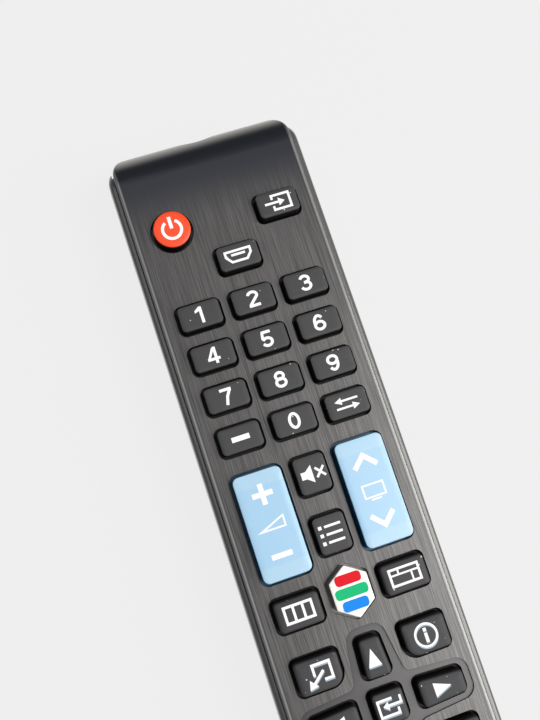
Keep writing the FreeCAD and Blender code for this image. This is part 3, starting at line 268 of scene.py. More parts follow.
def stacked_piece(name, stacks, place, sharp):
    """A piece made of closed stacks of rings, moved to its place and smooth but for its sharp edges."""
    faces, start = [], 0
    for stack in stacks:
        faces += stack_faces(stack, start)
        start += stack.shape[0] * stack.shape[1]
    points = np.concatenate([stack.reshape(-1, 3) for stack in stacks]) + np.array(place)
    return new_piece(name, points, faces, sharp)


def new_piece(name, points, faces, sharp=None):
    """An object from points in metres and faces, with its place in its mesh."""
    mesh = bpy.data.meshes.new(name)
    mesh.from_pydata(np.asarray(points).tolist(), [], faces)
    mesh.validate()
    if sharp is not None:
        mesh.shade_smooth()
        mesh.set_sharp_from_angle(angle=sharp)
    piece = bpy.data.objects.new(name, mesh)
    bpy.context.scene.collection.objects.link(piece)
    return piece


def finish(piece, material, body, slot, *nodes):
    """Gives a piece its material and its body, and hides the solids that it stands for. Its slot is not
    used.
    """
    piece.data.materials.clear()
    piece.data.materials.append(material)
    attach(piece, body)
    if nodes:
        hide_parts(*nodes)
    return piece


def smooth_copy(node, sharp):
    """A copy of a solid's mesh with its loose triangles joined and its curved faces shaded as one."""
    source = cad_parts[node].data
    points = np.empty(len(source.vertices) * 3)
    source.vertices.foreach_get("co", points)
    corners = np.empty(len(source.loops), int)
    source.loops.foreach_get("vertex_index", corners)
    steps = np.round(points.reshape(-1, 3) / (MM / 1000)).astype(int)
    _, first, merged = np.unique(steps, axis=0, return_index=True, return_inverse=True)
    triangles = merged.reshape(-1)[corners].reshape(-1, 3)
    whole = (triangles[:, 0] != triangles[:, 1]) & (triangles[:, 1] != triangles[:, 2])
    whole &= triangles[:, 2] != triangles[:, 0]
    piece = new_piece(f"{node}_finish", points.reshape(-1, 3)[first], triangles[whole].tolist(), sharp)
    weighted = piece.modifiers.new("even_faces", "WEIGHTED_NORMAL")
    weighted.keep_sharp = True
    return piece


# Materials


def new_material(name):
    """An empty material with its output and a Principled shader."""
    material = bpy.data.materials.new(name)
    material.use_nodes = True
    return material


def shader_of(material):
    """The material's Principled shader."""
    return material.node_tree.nodes["Principled BSDF"]


def add_node(material, kind, inputs=None, **settings):
    """Adds a node with its settings, and sets or links its inputs."""
    node = material.node_tree.nodes.new(kind)
    for name, value in settings.items():
        setattr(node, name, value)
    fill(material, node, inputs or {})
    return node


def fill(material, node, inputs):
    """Sets each input to a value, or links it to a socket."""
    for name, value in inputs.items():
        if isinstance(value, bpy.types.NodeSocket):
            material.node_tree.links.new(value, node.inputs[name])
        else:
            node.inputs[name].default_value = value


def position(material, scale=(1, 1, 1)):
    """The place on the object in its own frame, stretched by a scale on each axis."""
    place = add_node(material, "ShaderNodeTexCoord").outputs["Object"]
    return add_node(material, "ShaderNodeMapping", {"Vector": place, "Scale": scale}).outputs["Vector"]


def axis(material, name):
    """One coordinate of the place on the object, in metres."""
    place = add_node(material, "ShaderNodeTexCoord").outputs["Object"]
    return add_node(material, "ShaderNodeSeparateXYZ", {"Vector": place}).outputs[name]


def calculate(material, operation, first, second=0.0):
    """One sum on two numbers or sockets."""
    return add_node(material, "ShaderNodeMath", {0: first, 1: second}, operation=operation).outputs["Value"]


def between(material, value, low, high):
    """One where a value lies between two limits, and nought elsewhere."""
    above = calculate(material, "GREATER_THAN", value, low)
    under = calculate(material, "LESS_THAN", value, high)
    return calculate(material, "MULTIPLY", above, under)


def mixed(material, share, first, second):
    """A colour between two, by a share."""
    node = add_node(material, "ShaderNodeMix", data_type="RGBA")
    for name, kind, value in (("Factor", "VALUE", share), ("A", "RGBA", first), ("B", "RGBA", second)):
        socket = next(s for s in node.inputs if s.name == name and s.type == kind)
        if isinstance(value, bpy.types.NodeSocket):
            material.node_tree.links.new(value, socket)
        else:
            socket.default_value = value
    return next(s for s in node.outputs if s.type == "RGBA")


def varied(material, colour_value, noise, amount):
    """A colour that is lighter and darker by an amount, following a noise."""
    brightness = add_node(material, "ShaderNodeMapRange", {
        "Value": noise, "From Min": 0.25, "From Max": 0.75, "To Min": 1 - amount, "To Max": 1 + amount})
    plain = colour_value if isinstance(colour_value, bpy.types.NodeSocket) else colour_value[:3]
    return add_node(material, "ShaderNodeVectorMath", {
        0: plain, "Scale": brightness.outputs["Result"]}, operation="SCALE").outputs["Vector"]


def grained(material, grain, depth, strength=0.5):
    """Gives the shader the fine bump of a moulded surface."""
    noise = add_node(material, "ShaderNodeTexNoise", {
        "Vector": position(material), "Scale": 1 / grain, "Detail": 3.0, "Roughness": 0.6})
    bump = add_node(material, "ShaderNodeBump", {
        "Height": noise.outputs["Fac"], "Strength": strength, "Distance": depth})
    fill(material, shader_of(material), {"Normal": bump.outputs["Normal"]})
    return noise.outputs["Fac"]


def face_zones(material, settings):
    """The share, from nought to one, of each zone of the face's finish at a point.

    The one called behind is everything behind the front curve."""
    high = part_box("top_case")[1]
    height = axis(material, "Z")
    place = axis(material, "Y")
    aside = calculate(material, "ABSOLUTE", axis(material, "X"))
    geometry = add_node(material, "ShaderNodeNewGeometry").outputs
    upward = add_node(material, "ShaderNodeSeparateXYZ", {"Vector": geometry["True Normal"]}).outputs["Z"]
    facing = add_node(material, "ShaderNodeSeparateXYZ", {"Vector": geometry["Normal"]}).outputs["Y"]
    recess = between(material, height, high.z - settings.recess_to, high.z - settings.recess_from)
    recess = calculate(material, "MULTIPLY", recess, calculate(material, "LESS_THAN", place, 0.0))
    behind = add_node(material, "ShaderNodeMapRange", {
        "Value": place, "From Min": high.y - settings.fade_from, "From Max": high.y - settings.fade_to,
        "To Min": 1.0, "To Max": 0.0}, interpolation_type="SMOOTHSTEP").outputs["Result"]
    # Painted highlight: the band along both sides where the rounded edge gets a light colour.
    bevel = add_node(material, "ShaderNodeMapRange", {
        "Value": aside, "From Min": high.x - settings.bevel_inner,
        "From Max": high.x - settings.bevel_outer},
        interpolation_type="SMOOTHSTEP").outputs["Result"]
    # Painted shade: the band along the groove that is darkened.
    groove = between(material, aside, high.x - settings.groove_inner, high.x - settings.groove_outer)
    # Painted reflection: where the front curve faces forward it gets a light colour.
    brow = add_node(material, "ShaderNodeMapRange", {"Value": facing, "From Min": 0.45, "From Max": 0.98},
                    interpolation_type="SMOOTHSTEP").outputs["Result"]
    in_front = calculate(material, "GREATER_THAN", place, high.y - settings.brow_reach)
    # Painted shade: the cut walls of the key windows and the wall of the front hollow, painted near black.
    inside = calculate(material, "MULTIPLY", calculate(material, "LESS_THAN", upward, 0.25),
                       calculate(material, "LESS_THAN", aside, high.x - settings.cut_side))
    inside = calculate(material, "MULTIPLY", inside,
                       calculate(material, "LESS_THAN", place, high.y - settings.cut_front))
    flat = add_node(material, "ShaderNodeCombineXYZ", {"X": axis(material, "X"), "Y": place})
    scoop = add_node(material, "ShaderNodeVectorMath", {
        0: flat.outputs["Vector"], 1: (0, high.y + settings.scoop_reach, 0)}, operation="DISTANCE")
    hollow = calculate(material, "LESS_THAN", scoop.outputs["Value"],
                       settings.scoop_radius + settings.scoop_margin)
    return {"recess": recess, "behind": behind, "bevel": bevel, "groove": groove,
            "brow": calculate(material, "MULTIPLY", brow, in_front),
            "cut": calculate(material, "MAXIMUM", inside, hollow)}


def brush_lines(material, settings, zones):
    """Height of the brushed lines, about a half: fine lines and a little of broader ones."""
    across, along = 1 / settings.hairline, 1 / settings.stroke
    fine = add_node(material, "ShaderNodeTexNoise", {
        "Vector": position(material, (across, along, along)), "Scale": 1.0, "Detail": 4.0,
        "Roughness": 0.65})
    broad = add_node(material, "ShaderNodeTexNoise", {
        "Vector": position(material, (across / 5, along / 2, along / 2)), "Scale": 1.0, "Detail": 2.0})
    edge = calculate(material, "MAXIMUM", zones["bevel"], zones["groove"])
    plain = calculate(material, "MAXIMUM", zones["recess"], edge)
    brushed = calculate(material, "MULTIPLY", zones["behind"], calculate(material, "SUBTRACT", 1.0, plain))
    hair = calculate(material, "ADD", calculate(material, "MULTIPLY", fine.outputs["Fac"], 1.7),
                     calculate(material, "MULTIPLY", broad.outputs["Fac"], 0.3))
    hair = calculate(material, "MULTIPLY", calculate(material, "SUBTRACT", hair, 1.0), brushed)
    return calculate(material, "ADD", hair, 0.5)


def brushed_face(settings):
    """Face of the remote: dark grey film with a metal look and a hairline brush along Y over moulded ABS.

    The brush draws light out across its lines; it fades on the front curve, and the cross round the
    arrow keys is smooth paint. Painted shade: the front curve and a band along the groove are darkened,
    corners are darkened by ambient occlusion, and the cut walls of the key windows and the wall of the
    front hollow are painted near black. Painted highlight and reflection: the rounded edge along both
    sides and the forward-facing end of the front curve get light colours. The colours and the coat were
    fitted by comparing the brightness of spots in the render with one photograph, so they hold for the
    lights of this stage and say little about the real film."""
    material = new_material("brushed_film_face")
    zones = face_zones(material, settings)
    hair = brush_lines(material, settings, zones)
    # Painted shade: the front curve takes the darker front colour.
    base = mixed(material, zones["behind"], settings.front, settings.face)
    base = mixed(material, zones["recess"], base, settings.recess)
    base = varied(material, base, hair, settings.contrast)
    # Painted reflection: the light strip on the front curve.
    base = mixed(material, zones["brow"], base, settings.brow)
    # Painted shade: a share of the front colour darkens the groove.
    base = mixed(material, calculate(material, "MULTIPLY", zones["groove"], 0.45), base, settings.front)
    # Painted highlight: the light colour on the rounded edge along both sides.
    base = mixed(material, zones["bevel"], base, settings.bevel)
    # Painted shade: corners and creases are darkened by ambient occlusion.
    shaded = add_node(material, "ShaderNodeAmbientOcclusion", {"Distance": settings.crease},
                      samples=8, only_local=True)
    base = mixed(material, shaded.outputs["AO"], linear("#1c1c1d"), base)
    # Painted shade: near black on the cut walls and the wall of the front hollow.
    base = mixed(material, zones["cut"], base, linear("#070708"))
    bump = add_node(material, "ShaderNodeBump", {"Height": hair, "Strength": 0.35, "Distance": 0.02 * MM})
    roughness = add_node(material, "ShaderNodeMapRange", {
        "Value": hair, "From Min": 0.3, "From Max": 0.7, "To Min": 0.48, "To Max": 0.42})
    fill(material, shader_of(material), {
        "Base Color": base, "Metallic": 0.85, "Roughness": roughness.outputs["Result"],
        "Anisotropic": 0.3, "Normal": bump.outputs["Normal"],
        "Coat Weight": 0.45, "Coat Roughness": 0.22,
        "Tangent": add_node(material, "ShaderNodeCombineXYZ", {"Y": 1.0, "Z": -0.3}).outputs["Vector"]})
    return material


def moulded_shell(settings):
    """Lower case and door: charcoal ABS from a spark-eroded mould, a satin that scatters light finely."""
    material = new_material("moulded_charcoal_abs")
    noise = grained(material, settings.grain, 0.005 * MM, 0.3)
    fill(material, shader_of(material), {
        "Base Color": varied(material, settings.shell, noise, 0.08), "Roughness": 0.4, "IOR": 1.53,
        "Coat Weight": 0.9, "Coat Roughness": 0.2})
    return material


def window_acrylic():
    """Infrared window: black-red dyed acrylic, polished, which passes infrared light only."""
    material = new_material("dyed_infrared_acrylic")
    noise = grained(material, 2.0 * MM, 0.01 * MM, 0.15)
    fill(material, shader_of(material), {
        "Base Color": varied(material, linear("#1a0a0d"), noise, 0.1), "Roughness": 0.07, "IOR": 1.49,
        "Coat Weight": 0.5, "Coat Roughness": 0.03})
    return material


def walled(material, top, base, wall, depth=0.36 * MM, blend=0.08 * MM, front=(0.3, 0.75)):
    """The lacquer's colour on a key's top, and a darker colour down its side walls: painted shade for the
    gaps round the keys.

    The edge that faces the front gets the same painted shade: there the wall's
    colour begins where the surface leans forward by the first of two shares and is full at the second."""
    on_top = add_node(material, "ShaderNodeMapRange", {
        "Value": axis(material, "Z"), "From Min": top - depth - blend, "From Max": top - depth + blend})
    normal = add_node(material, "ShaderNodeNewGeometry").outputs["Normal"]
    leaning = add_node(material, "ShaderNodeMapRange", {
        "Value": add_node(material, "ShaderNodeSeparateXYZ", {"Vector": normal}).outputs["Y"],
        "From Min": front[0], "From Max": front[1], "To Min": 1.0, "To Max": 0.0})
    share = calculate(material, "MULTIPLY", on_top.outputs["Result"], leaning.outputs["Result"])
    return mixed(material, share, wall, base)


def lacquered_rubber(name, colour_value, wall, top, spacing=1.2 * MM, largest=0.16, rarity=0.66):
    """Key rubber: moulded silicone under a matt lacquer, with a fine grain and a few specks of dust.

    The side walls are painted nearly black, as is the edge that leans towards the front: painted shade.
    Specks of dust lie about a spacing apart, their radius is up to the largest share of it, and only those
    above the rarity are drawn."""
    material = new_material(name)
    noise = grained(material, 0.16 * MM, 0.006 * MM, 0.5)
    specks = add_node(material, "ShaderNodeTexVoronoi", {
        "Vector": position(material), "Scale": 1 / spacing}).outputs
    chosen = add_node(material, "ShaderNodeSeparateColor", {"Color": specks["Color"]}).outputs
    size = calculate(material, "MULTIPLY", chosen["Green"], largest)
    dust = calculate(material, "MULTIPLY", calculate(material, "LESS_THAN", specks["Distance"], size),
                     calculate(material, "GREATER_THAN", chosen["Red"], rarity))
    base = mixed(material, dust, varied(material, colour_value, noise, 0.12), linear("#cfcfcb"))
    fill(material, shader_of(material), {
        "Base Color": walled(material, top, base, wall), "Roughness": 0.55, "IOR": 1.43})
    return material


def milky_plastic(name, colour_value, wall, top, scatter=0.25):
    """Coloured keys: translucent silicone with a gloss lacquer on top, slightly milky inside."""
    material = new_material(name)
    noise = grained(material, 0.5 * MM, 0.004 * MM, 0.3)
    # Painted shade: the side walls and the edge that leans towards the front take the wall colour.
    base = walled(material, top, varied(material, colour_value, noise, 0.03), wall)
    fill(material, shader_of(material), {
        "Base Color": base, "Roughness": 0.35, "IOR": 1.45, "Subsurface Weight": scatter,
        "Subsurface Scale": 0.6 * MM, "Coat Weight": 0.25, "Coat Roughness": 0.2})
    return material


def rocker_plastic(settings, middle):
    """Rocking keys: the milky blue silicone, with a paler band at both ends that is a painted highlight."""
    low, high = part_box("volume_rocker")
    half = (high.y - low.y) / 2 - settings.flange
    # Painted shade: the darker blue on the side walls and on the edge that leans towards the front.
    wall = linear("#1b5c86")
    material = milky_plastic("milky_blue_silicone", settings.rocker, wall, high.z)
    away = calculate(material, "ABSOLUTE", calculate(material, "SUBTRACT", axis(material, "Y"), middle))
    # Painted highlight: the paler band at both ends.
    band = add_node(material, "ShaderNodeMapRange", {
        "Value": away, "From Min": half - settings.rocker_band - 0.3 * MM,
        "From Max": half - settings.rocker_band + 0.3 * MM})
    base = mixed(material, band.outputs["Result"], settings.rocker, settings.rocker_end)
    fill(material, shader_of(material), {"Base Color": walled(material, high.z, base, wall)})
    return material


def printed_ink(name, colour_value):
    """Prints: an opaque screen ink with a little unevenness and a soft gloss."""
    material = new_material(name)
    noise = grained(material, 0.25 * MM, 0.003 * MM, 0.3)
    fill(material, shader_of(material), {
        "Base Color": varied(material, colour_value, noise, 0.02), "Roughness": 0.55,
        "Specular IOR Level": 0.2})
    return material


def printed_board():
    """Circuit board: green solder mask over glass cloth, with copper tracks that show as lighter lines."""
    material = new_material("solder_masked_board")
    tracks = add_node(material, "ShaderNodeTexBrick", {
        "Vector": position(material), "Scale": 1 / (4 * MM), "Mortar Size": 0.02,
        "Color1": linear("#16502f"), "Color2": linear("#1a5a36"), "Mortar": linear("#2f7f4c")})
    fill(material, shader_of(material), {
        "Base Color": tracks.outputs["Color"], "Roughness": 0.35,
        "Coat Weight": 0.4, "Coat Roughness": 0.15})
    return material


def drawn_metal(name, colour_value, roughness=0.3):
    """Strip metal: plated steel with the fine lines of rolling."""
    material = new_material(name)
    lines = add_node(material, "ShaderNodeTexNoise", {
        "Vector": position(material, (1 / (0.1 * MM), 1 / (3 * MM), 1 / (3 * MM))), "Scale": 1.0})
    bump = add_node(material, "ShaderNodeBump", {
        "Height": lines.outputs["Fac"], "Strength": 0.2, "Distance": 0.01 * MM})
    fill(material, shader_of(material), {
        "Base Color": varied(material, colour_value, lines.outputs["Fac"], 0.08), "Metallic": 1.0,
        "Roughness": roughness, "Normal": bump.outputs["Normal"]})
    return material


def cell_wrap(name, node, forward):
    """Cell: shrunk printed film, dark with a copper-coloured band at its plus end, and bare steel ends."""
    low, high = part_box(node)
    start, sign = (low.y, 1.0) if forward else (high.y, -1.0)
    material = new_material(name)
    along = calculate(material, "SUBTRACT", axis(material, "Y"), start)
    along = calculate(material, "MULTIPLY", along, sign)
    whole = high.y - low.y
    band = calculate(material, "GREATER_THAN", along, whole * 0.7)
    film = mixed(material, band, linear("#1f2225"), linear("#b3713a"))
    rolled = add_node(material, "ShaderNodeTexNoise", {"Vector": position(material), "Scale": 1 / (4 * MM)})
    steel = calculate(material, "SUBTRACT", 1.0, between(material, along, 0.4 * MM, whole - 1.4 * MM))
    base = mixed(material, steel, varied(material, film, rolled.outputs["Fac"], 0.06), linear("#c9c8c4"))
    fill(material, shader_of(material), {"Base Color": base, "Metallic": steel, "Roughness": 0.28})
    return material


def small_parts():
    """Parts on the board: a sleeved capacitor, a blue ceramic resonator and black chips with
    tinned ends."""
    material = new_material("assorted_board_parts")
    low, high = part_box("board_parts")
    place = add_node(material, "ShaderNodeMapRange", {
        "Value": axis(material, "Y"), "From Min": low.y, "From Max": high.y})
    shades = add_node(material, "ShaderNodeValToRGB", {"Fac": place.outputs["Result"]})
    shades.color_ramp.interpolation = "CONSTANT"
    shades.color_ramp.elements[0].color = linear("#20262e")
    shades.color_ramp.elements[1].position = 0.9
    shades.color_ramp.elements[1].color = linear("#17171a")
    shades.color_ramp.elements.new(0.4).color = linear("#27588c")
    noise = grained(material, 0.4 * MM, 0.01 * MM)
    fill(material, shader_of(material), {
        "Base Color": varied(material, shades.outputs["Color"], noise, 0.08), "Roughness": 0.4})
    return material


def chip_body():
    """Controller chip: black moulded epoxy with tinned pins along both sides."""
    material = new_material("moulded_chip_epoxy")
    low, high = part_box("controller_chip")
    aside = calculate(material, "ABSOLUTE", axis(material, "X"))
    pins = calculate(material, "GREATER_THAN", aside, (high.x - low.x) / 2 - 1.25 * MM)
    noise = grained(material, 0.2 * MM, 0.01 * MM)
    base = mixed(material, pins, varied(material, linear("#1b1b1d"), noise, 0.1), linear("#cfcfcb"))
    fill(material, shader_of(material), {"Base Color": base, "Metallic": pins, "Roughness": 0.45})
    return material


def soft_rubber():
    """Keypad mat: bare grey silicone, dull and slightly dusty."""
    material = new_material("bare_grey_silicone")
    noise = grained(material, 0.4 * MM, 0.01 * MM)
    fill(material, shader_of(material), {
        "Base Color": varied(material, linear("#5b5c5e"), noise, 0.06), "Roughness": 0.7, "IOR": 1.43})
    return material


def diode_epoxy():
    """Infrared diode: water-clear epoxy with a blue cast."""
    material = new_material("clear_diode_epoxy")
    noise = grained(material, 1.0 * MM, 0.005 * MM, 0.1)
    fill(material, shader_of(material), {
        "Base Color": varied(material, linear("#b9c6d8"), noise, 0.03), "Roughness": 0.08, "IOR": 1.52,
        "Transmission Weight": 0.7})
    return material


# Key caps


CORNER_SIGNS = ((-1, -1), (1, -1), (1, 1), (-1, 1))
NEARLY_ROUND = 0.999
EDGE_POINTS = 7
PLUNGER_SIDES = 24


def head_corners(node, keys):
    """A key's middle and its head's corners (x, y, rounding), counter-clockwise seen from above."""
    low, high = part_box(node)
    middle = (low + high) / 2
    half_x = (high.x - low.x) / 2 - keys.flange
    half_y = (high.y - low.y) / 2 - keys.flange
    if node == "power_key":
        return middle, [(x * half_x, y * half_x, half_x * NEARLY_ROUND) for x, y in CORNER_SIGNS]
    if node == "hexagon_key":
        tip, side, r = keys.hexagon_length / 2, keys.hexagon_side / 2, keys.hexagon_corner
        return middle, [(0, -tip, r), (half_x, -side, r), (half_x, side, r),
                        (0, tip, r), (-half_x, side, r), (-half_x, -side, r)]
    if node in ARROW_TURNS:
        turns = ARROW_TURNS[node]
        half, reach = (half_x, half_y) if turns % 2 == 0 else (half_y, half_x)
        corners = [(-half, -reach), (half, -reach), (half * keys.taper, reach), (-half * keys.taper, reach)]
        for _ in range(turns):
            corners = [(-y, x) for x, y in corners]
        return middle, [(x, y, keys.corner) for x, y in corners]
    radii = [keys.rocker_corner if node in ROCKERS else keys.corner] * 4
    if node in BIG_CORNERS:
        radii[BIG_CORNERS[node]] = keys.big_corner
    corners = ((-half_x, -half_y), (half_x, -half_y), (half_x, half_y), (-half_x, half_y))
    return middle, [(x, y, r) for (x, y), r in zip(corners, radii)]


def crown_drop(keys, scale):
    """How far a point of the cap lies under its level middle: the crown times the square of its share
    of the way out from the edge of the level part to the rim."""
    return keys.crown * np.clip((scale - keys.level) / (1 - keys.level), 0, 1) ** 2


def key_cap(node, keys, sharp):
    """A key: its head with a crowned top, its flange and its plungers.

    The head's profile, from the flange up, is a straight wall, a quarter round of radius e
    (inset e (1 - cos t), height e sin t) and the crown. A lower key's quarter round also moves
    towards the rear as it rises, in proportion to its inset."""
    low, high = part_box(node)
    middle, corners = head_corners(node, keys)
    rim = high.z - keys.print_gap - keys.crown
    soft = high.y < keys.soft_from and node != "hexagon_key"
    edge = keys.soft_edge if soft else keys.edge
    turn = np.linspace(0, math.pi / 2, EDGE_POINTS)
    inset = np.concatenate([[-keys.flange, -keys.flange, 0], edge * (1 - np.cos(turn))])
    flange_low = high.z - keys.flange_drop - keys.flange_wall
    flange_top = flange_low + (keys.rocker_flange_wall if node in ROCKERS else keys.flange_wall)
    wall = [flange_low, flange_top, flange_top]
    height = np.concatenate([wall, rim - edge * (1 - np.sin(turn))])
    over = np.linspace(1, keys.level, keys.rings + 1)[1:]
    inset = np.concatenate([inset, np.full(len(over), edge)])
    scale = np.concatenate([np.ones(len(wall) + len(turn)), over])
    height = np.concatenate([height, rim + keys.crown - crown_drop(keys, over)])
    head = rings(corners, inset, scale, height, keys.steps)
    if soft:
        head[:, :, 1] -= np.clip(inset / edge, 0, 1)[:, None] * keys.lean
    stacks = [head]
    spots = (-keys.rocker_plungers / 2, keys.rocker_plungers / 2) if node in ROCKERS else (0,)
    for along in spots:
        ends = np.array([low.z, flange_low])
        stacks.append(turned(np.full(2, keys.plunger), ends, (0, along), PLUNGER_SIDES))
    return stacked_piece(f"{node}_cap", stacks, (middle.x, middle.y, 0), sharp)


ARROW_TURNS = {"arrow_up_key": 0, "arrow_left_key": 1, "arrow_down_key": 2, "arrow_right_key": 3}
BIG_CORNERS = {"tools_key": 1, "info_key": 0, "return_key": 2, "exit_key": 3}
ROCKERS = ("volume_rocker", "channel_rocker")
COLOUR_KEYS = {"red_key": "#c8242c", "green_key": "#1d8a4a", "yellow_key": "#e0b321", "blue_key": "#2457b8"}
OWN_COLOUR = ("power_key", "hexagon_key", *ROCKERS, *COLOUR_KEYS)
DARK_KEYS = [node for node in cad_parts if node.endswith("_key") and node not in OWN_COLOUR]
DIGITS = {f"number_{word}_key": str(figure) for figure, word in enumerate(
    ("zero", "one", "two", "three", "four", "five", "six", "seven", "eight", "nine"))}


# Printed figures and symbols, drawn in millimetres from the middle of their key


SYMBOL_SIZES = {"source_key": 1.18, "connector_key": 1.18, "mute_key": 1.15, "channel_list_key": 1.15,
                "menu_key": 1.25, "guide_key": 1.15, "tools_key": 1.25, "info_key": 1.2, "enter_key": 1.1}
HEXAGON_BARS = (("red", "#e0001c", 2.95, 3.1), ("green", "#00bc78", 0, 3.9),
                ("blue", "#0088ec", -2.95, 3.1))
HEXAGON_BAR_HALF = 1.2
HEXAGON_BAR_ROUND = 0.9


def band(points, width, closed=False):
    """A flat band along a line: each point is moved half the width to either side along the mitre
    (n1 + n2) / (1 + n1.n2) of the normals of the runs that meet there."""
    line = np.asarray(points, float)
    if closed:
        after = np.roll(line, -1, 0) - line
        before = np.roll(after, 1, 0)
    else:
        after = np.vstack([np.diff(line, axis=0), line[-1:] - line[-2:-1]])
        before = np.vstack([after[:1], after[:-1]])
    normals = []
    for run in (before, after):
        run = run / np.linalg.norm(run, axis=1, keepdims=True)
        normals.append(np.column_stack([-run[:, 1], run[:, 0]]))
    mitre = (normals[0] + normals[1]) / (1 + np.sum(normals[0] * normals[1], axis=1, keepdims=True))
    count = len(line)
    index = np.arange(count if closed else count - 1)
    following = (index + 1) % count
    quads = np.column_stack([index + count, following + count, following, index])
    return np.vstack([line + mitre * width / 2, line - mitre * width / 2]), quads.tolist()


def patch(points):
    """A filled outline, given counter-clockwise."""
    return np.asarray(points, float), [list(range(len(points)))]


def bar(x, y, wide, high):
    """A filled rectangle about a middle."""
    return patch([(x - wide / 2, y - high / 2), (x + wide / 2, y - high / 2),
                  (x + wide / 2, y + high / 2), (x - wide / 2, y + high / 2)])


def moved(drawing, x, y):
    """A drawing moved to another place on its key."""
    return [(points + np.array([x, y]), faces) for points, faces in drawing]


def quarter_turned(drawing, turns):
    """A drawing turned counter-clockwise by quarter turns."""
    angle = turns * math.pi / 2
    spin = np.array([[math.cos(angle), math.sin(angle)], [-math.sin(angle), math.cos(angle)]])
    return [(points @ spin, faces) for points, faces in drawing]


def box_line(wide, high, pen):
    """A rectangle drawn with a pen."""
    x, y = wide / 2, high / 2
    return band([(-x, -y), (x, -y), (x, y), (-x, y)], pen, closed=True)


def triangle(reach, half):
    """A filled triangle that points up."""
    return patch([(-half, -reach), (half, -reach), (0, reach)])


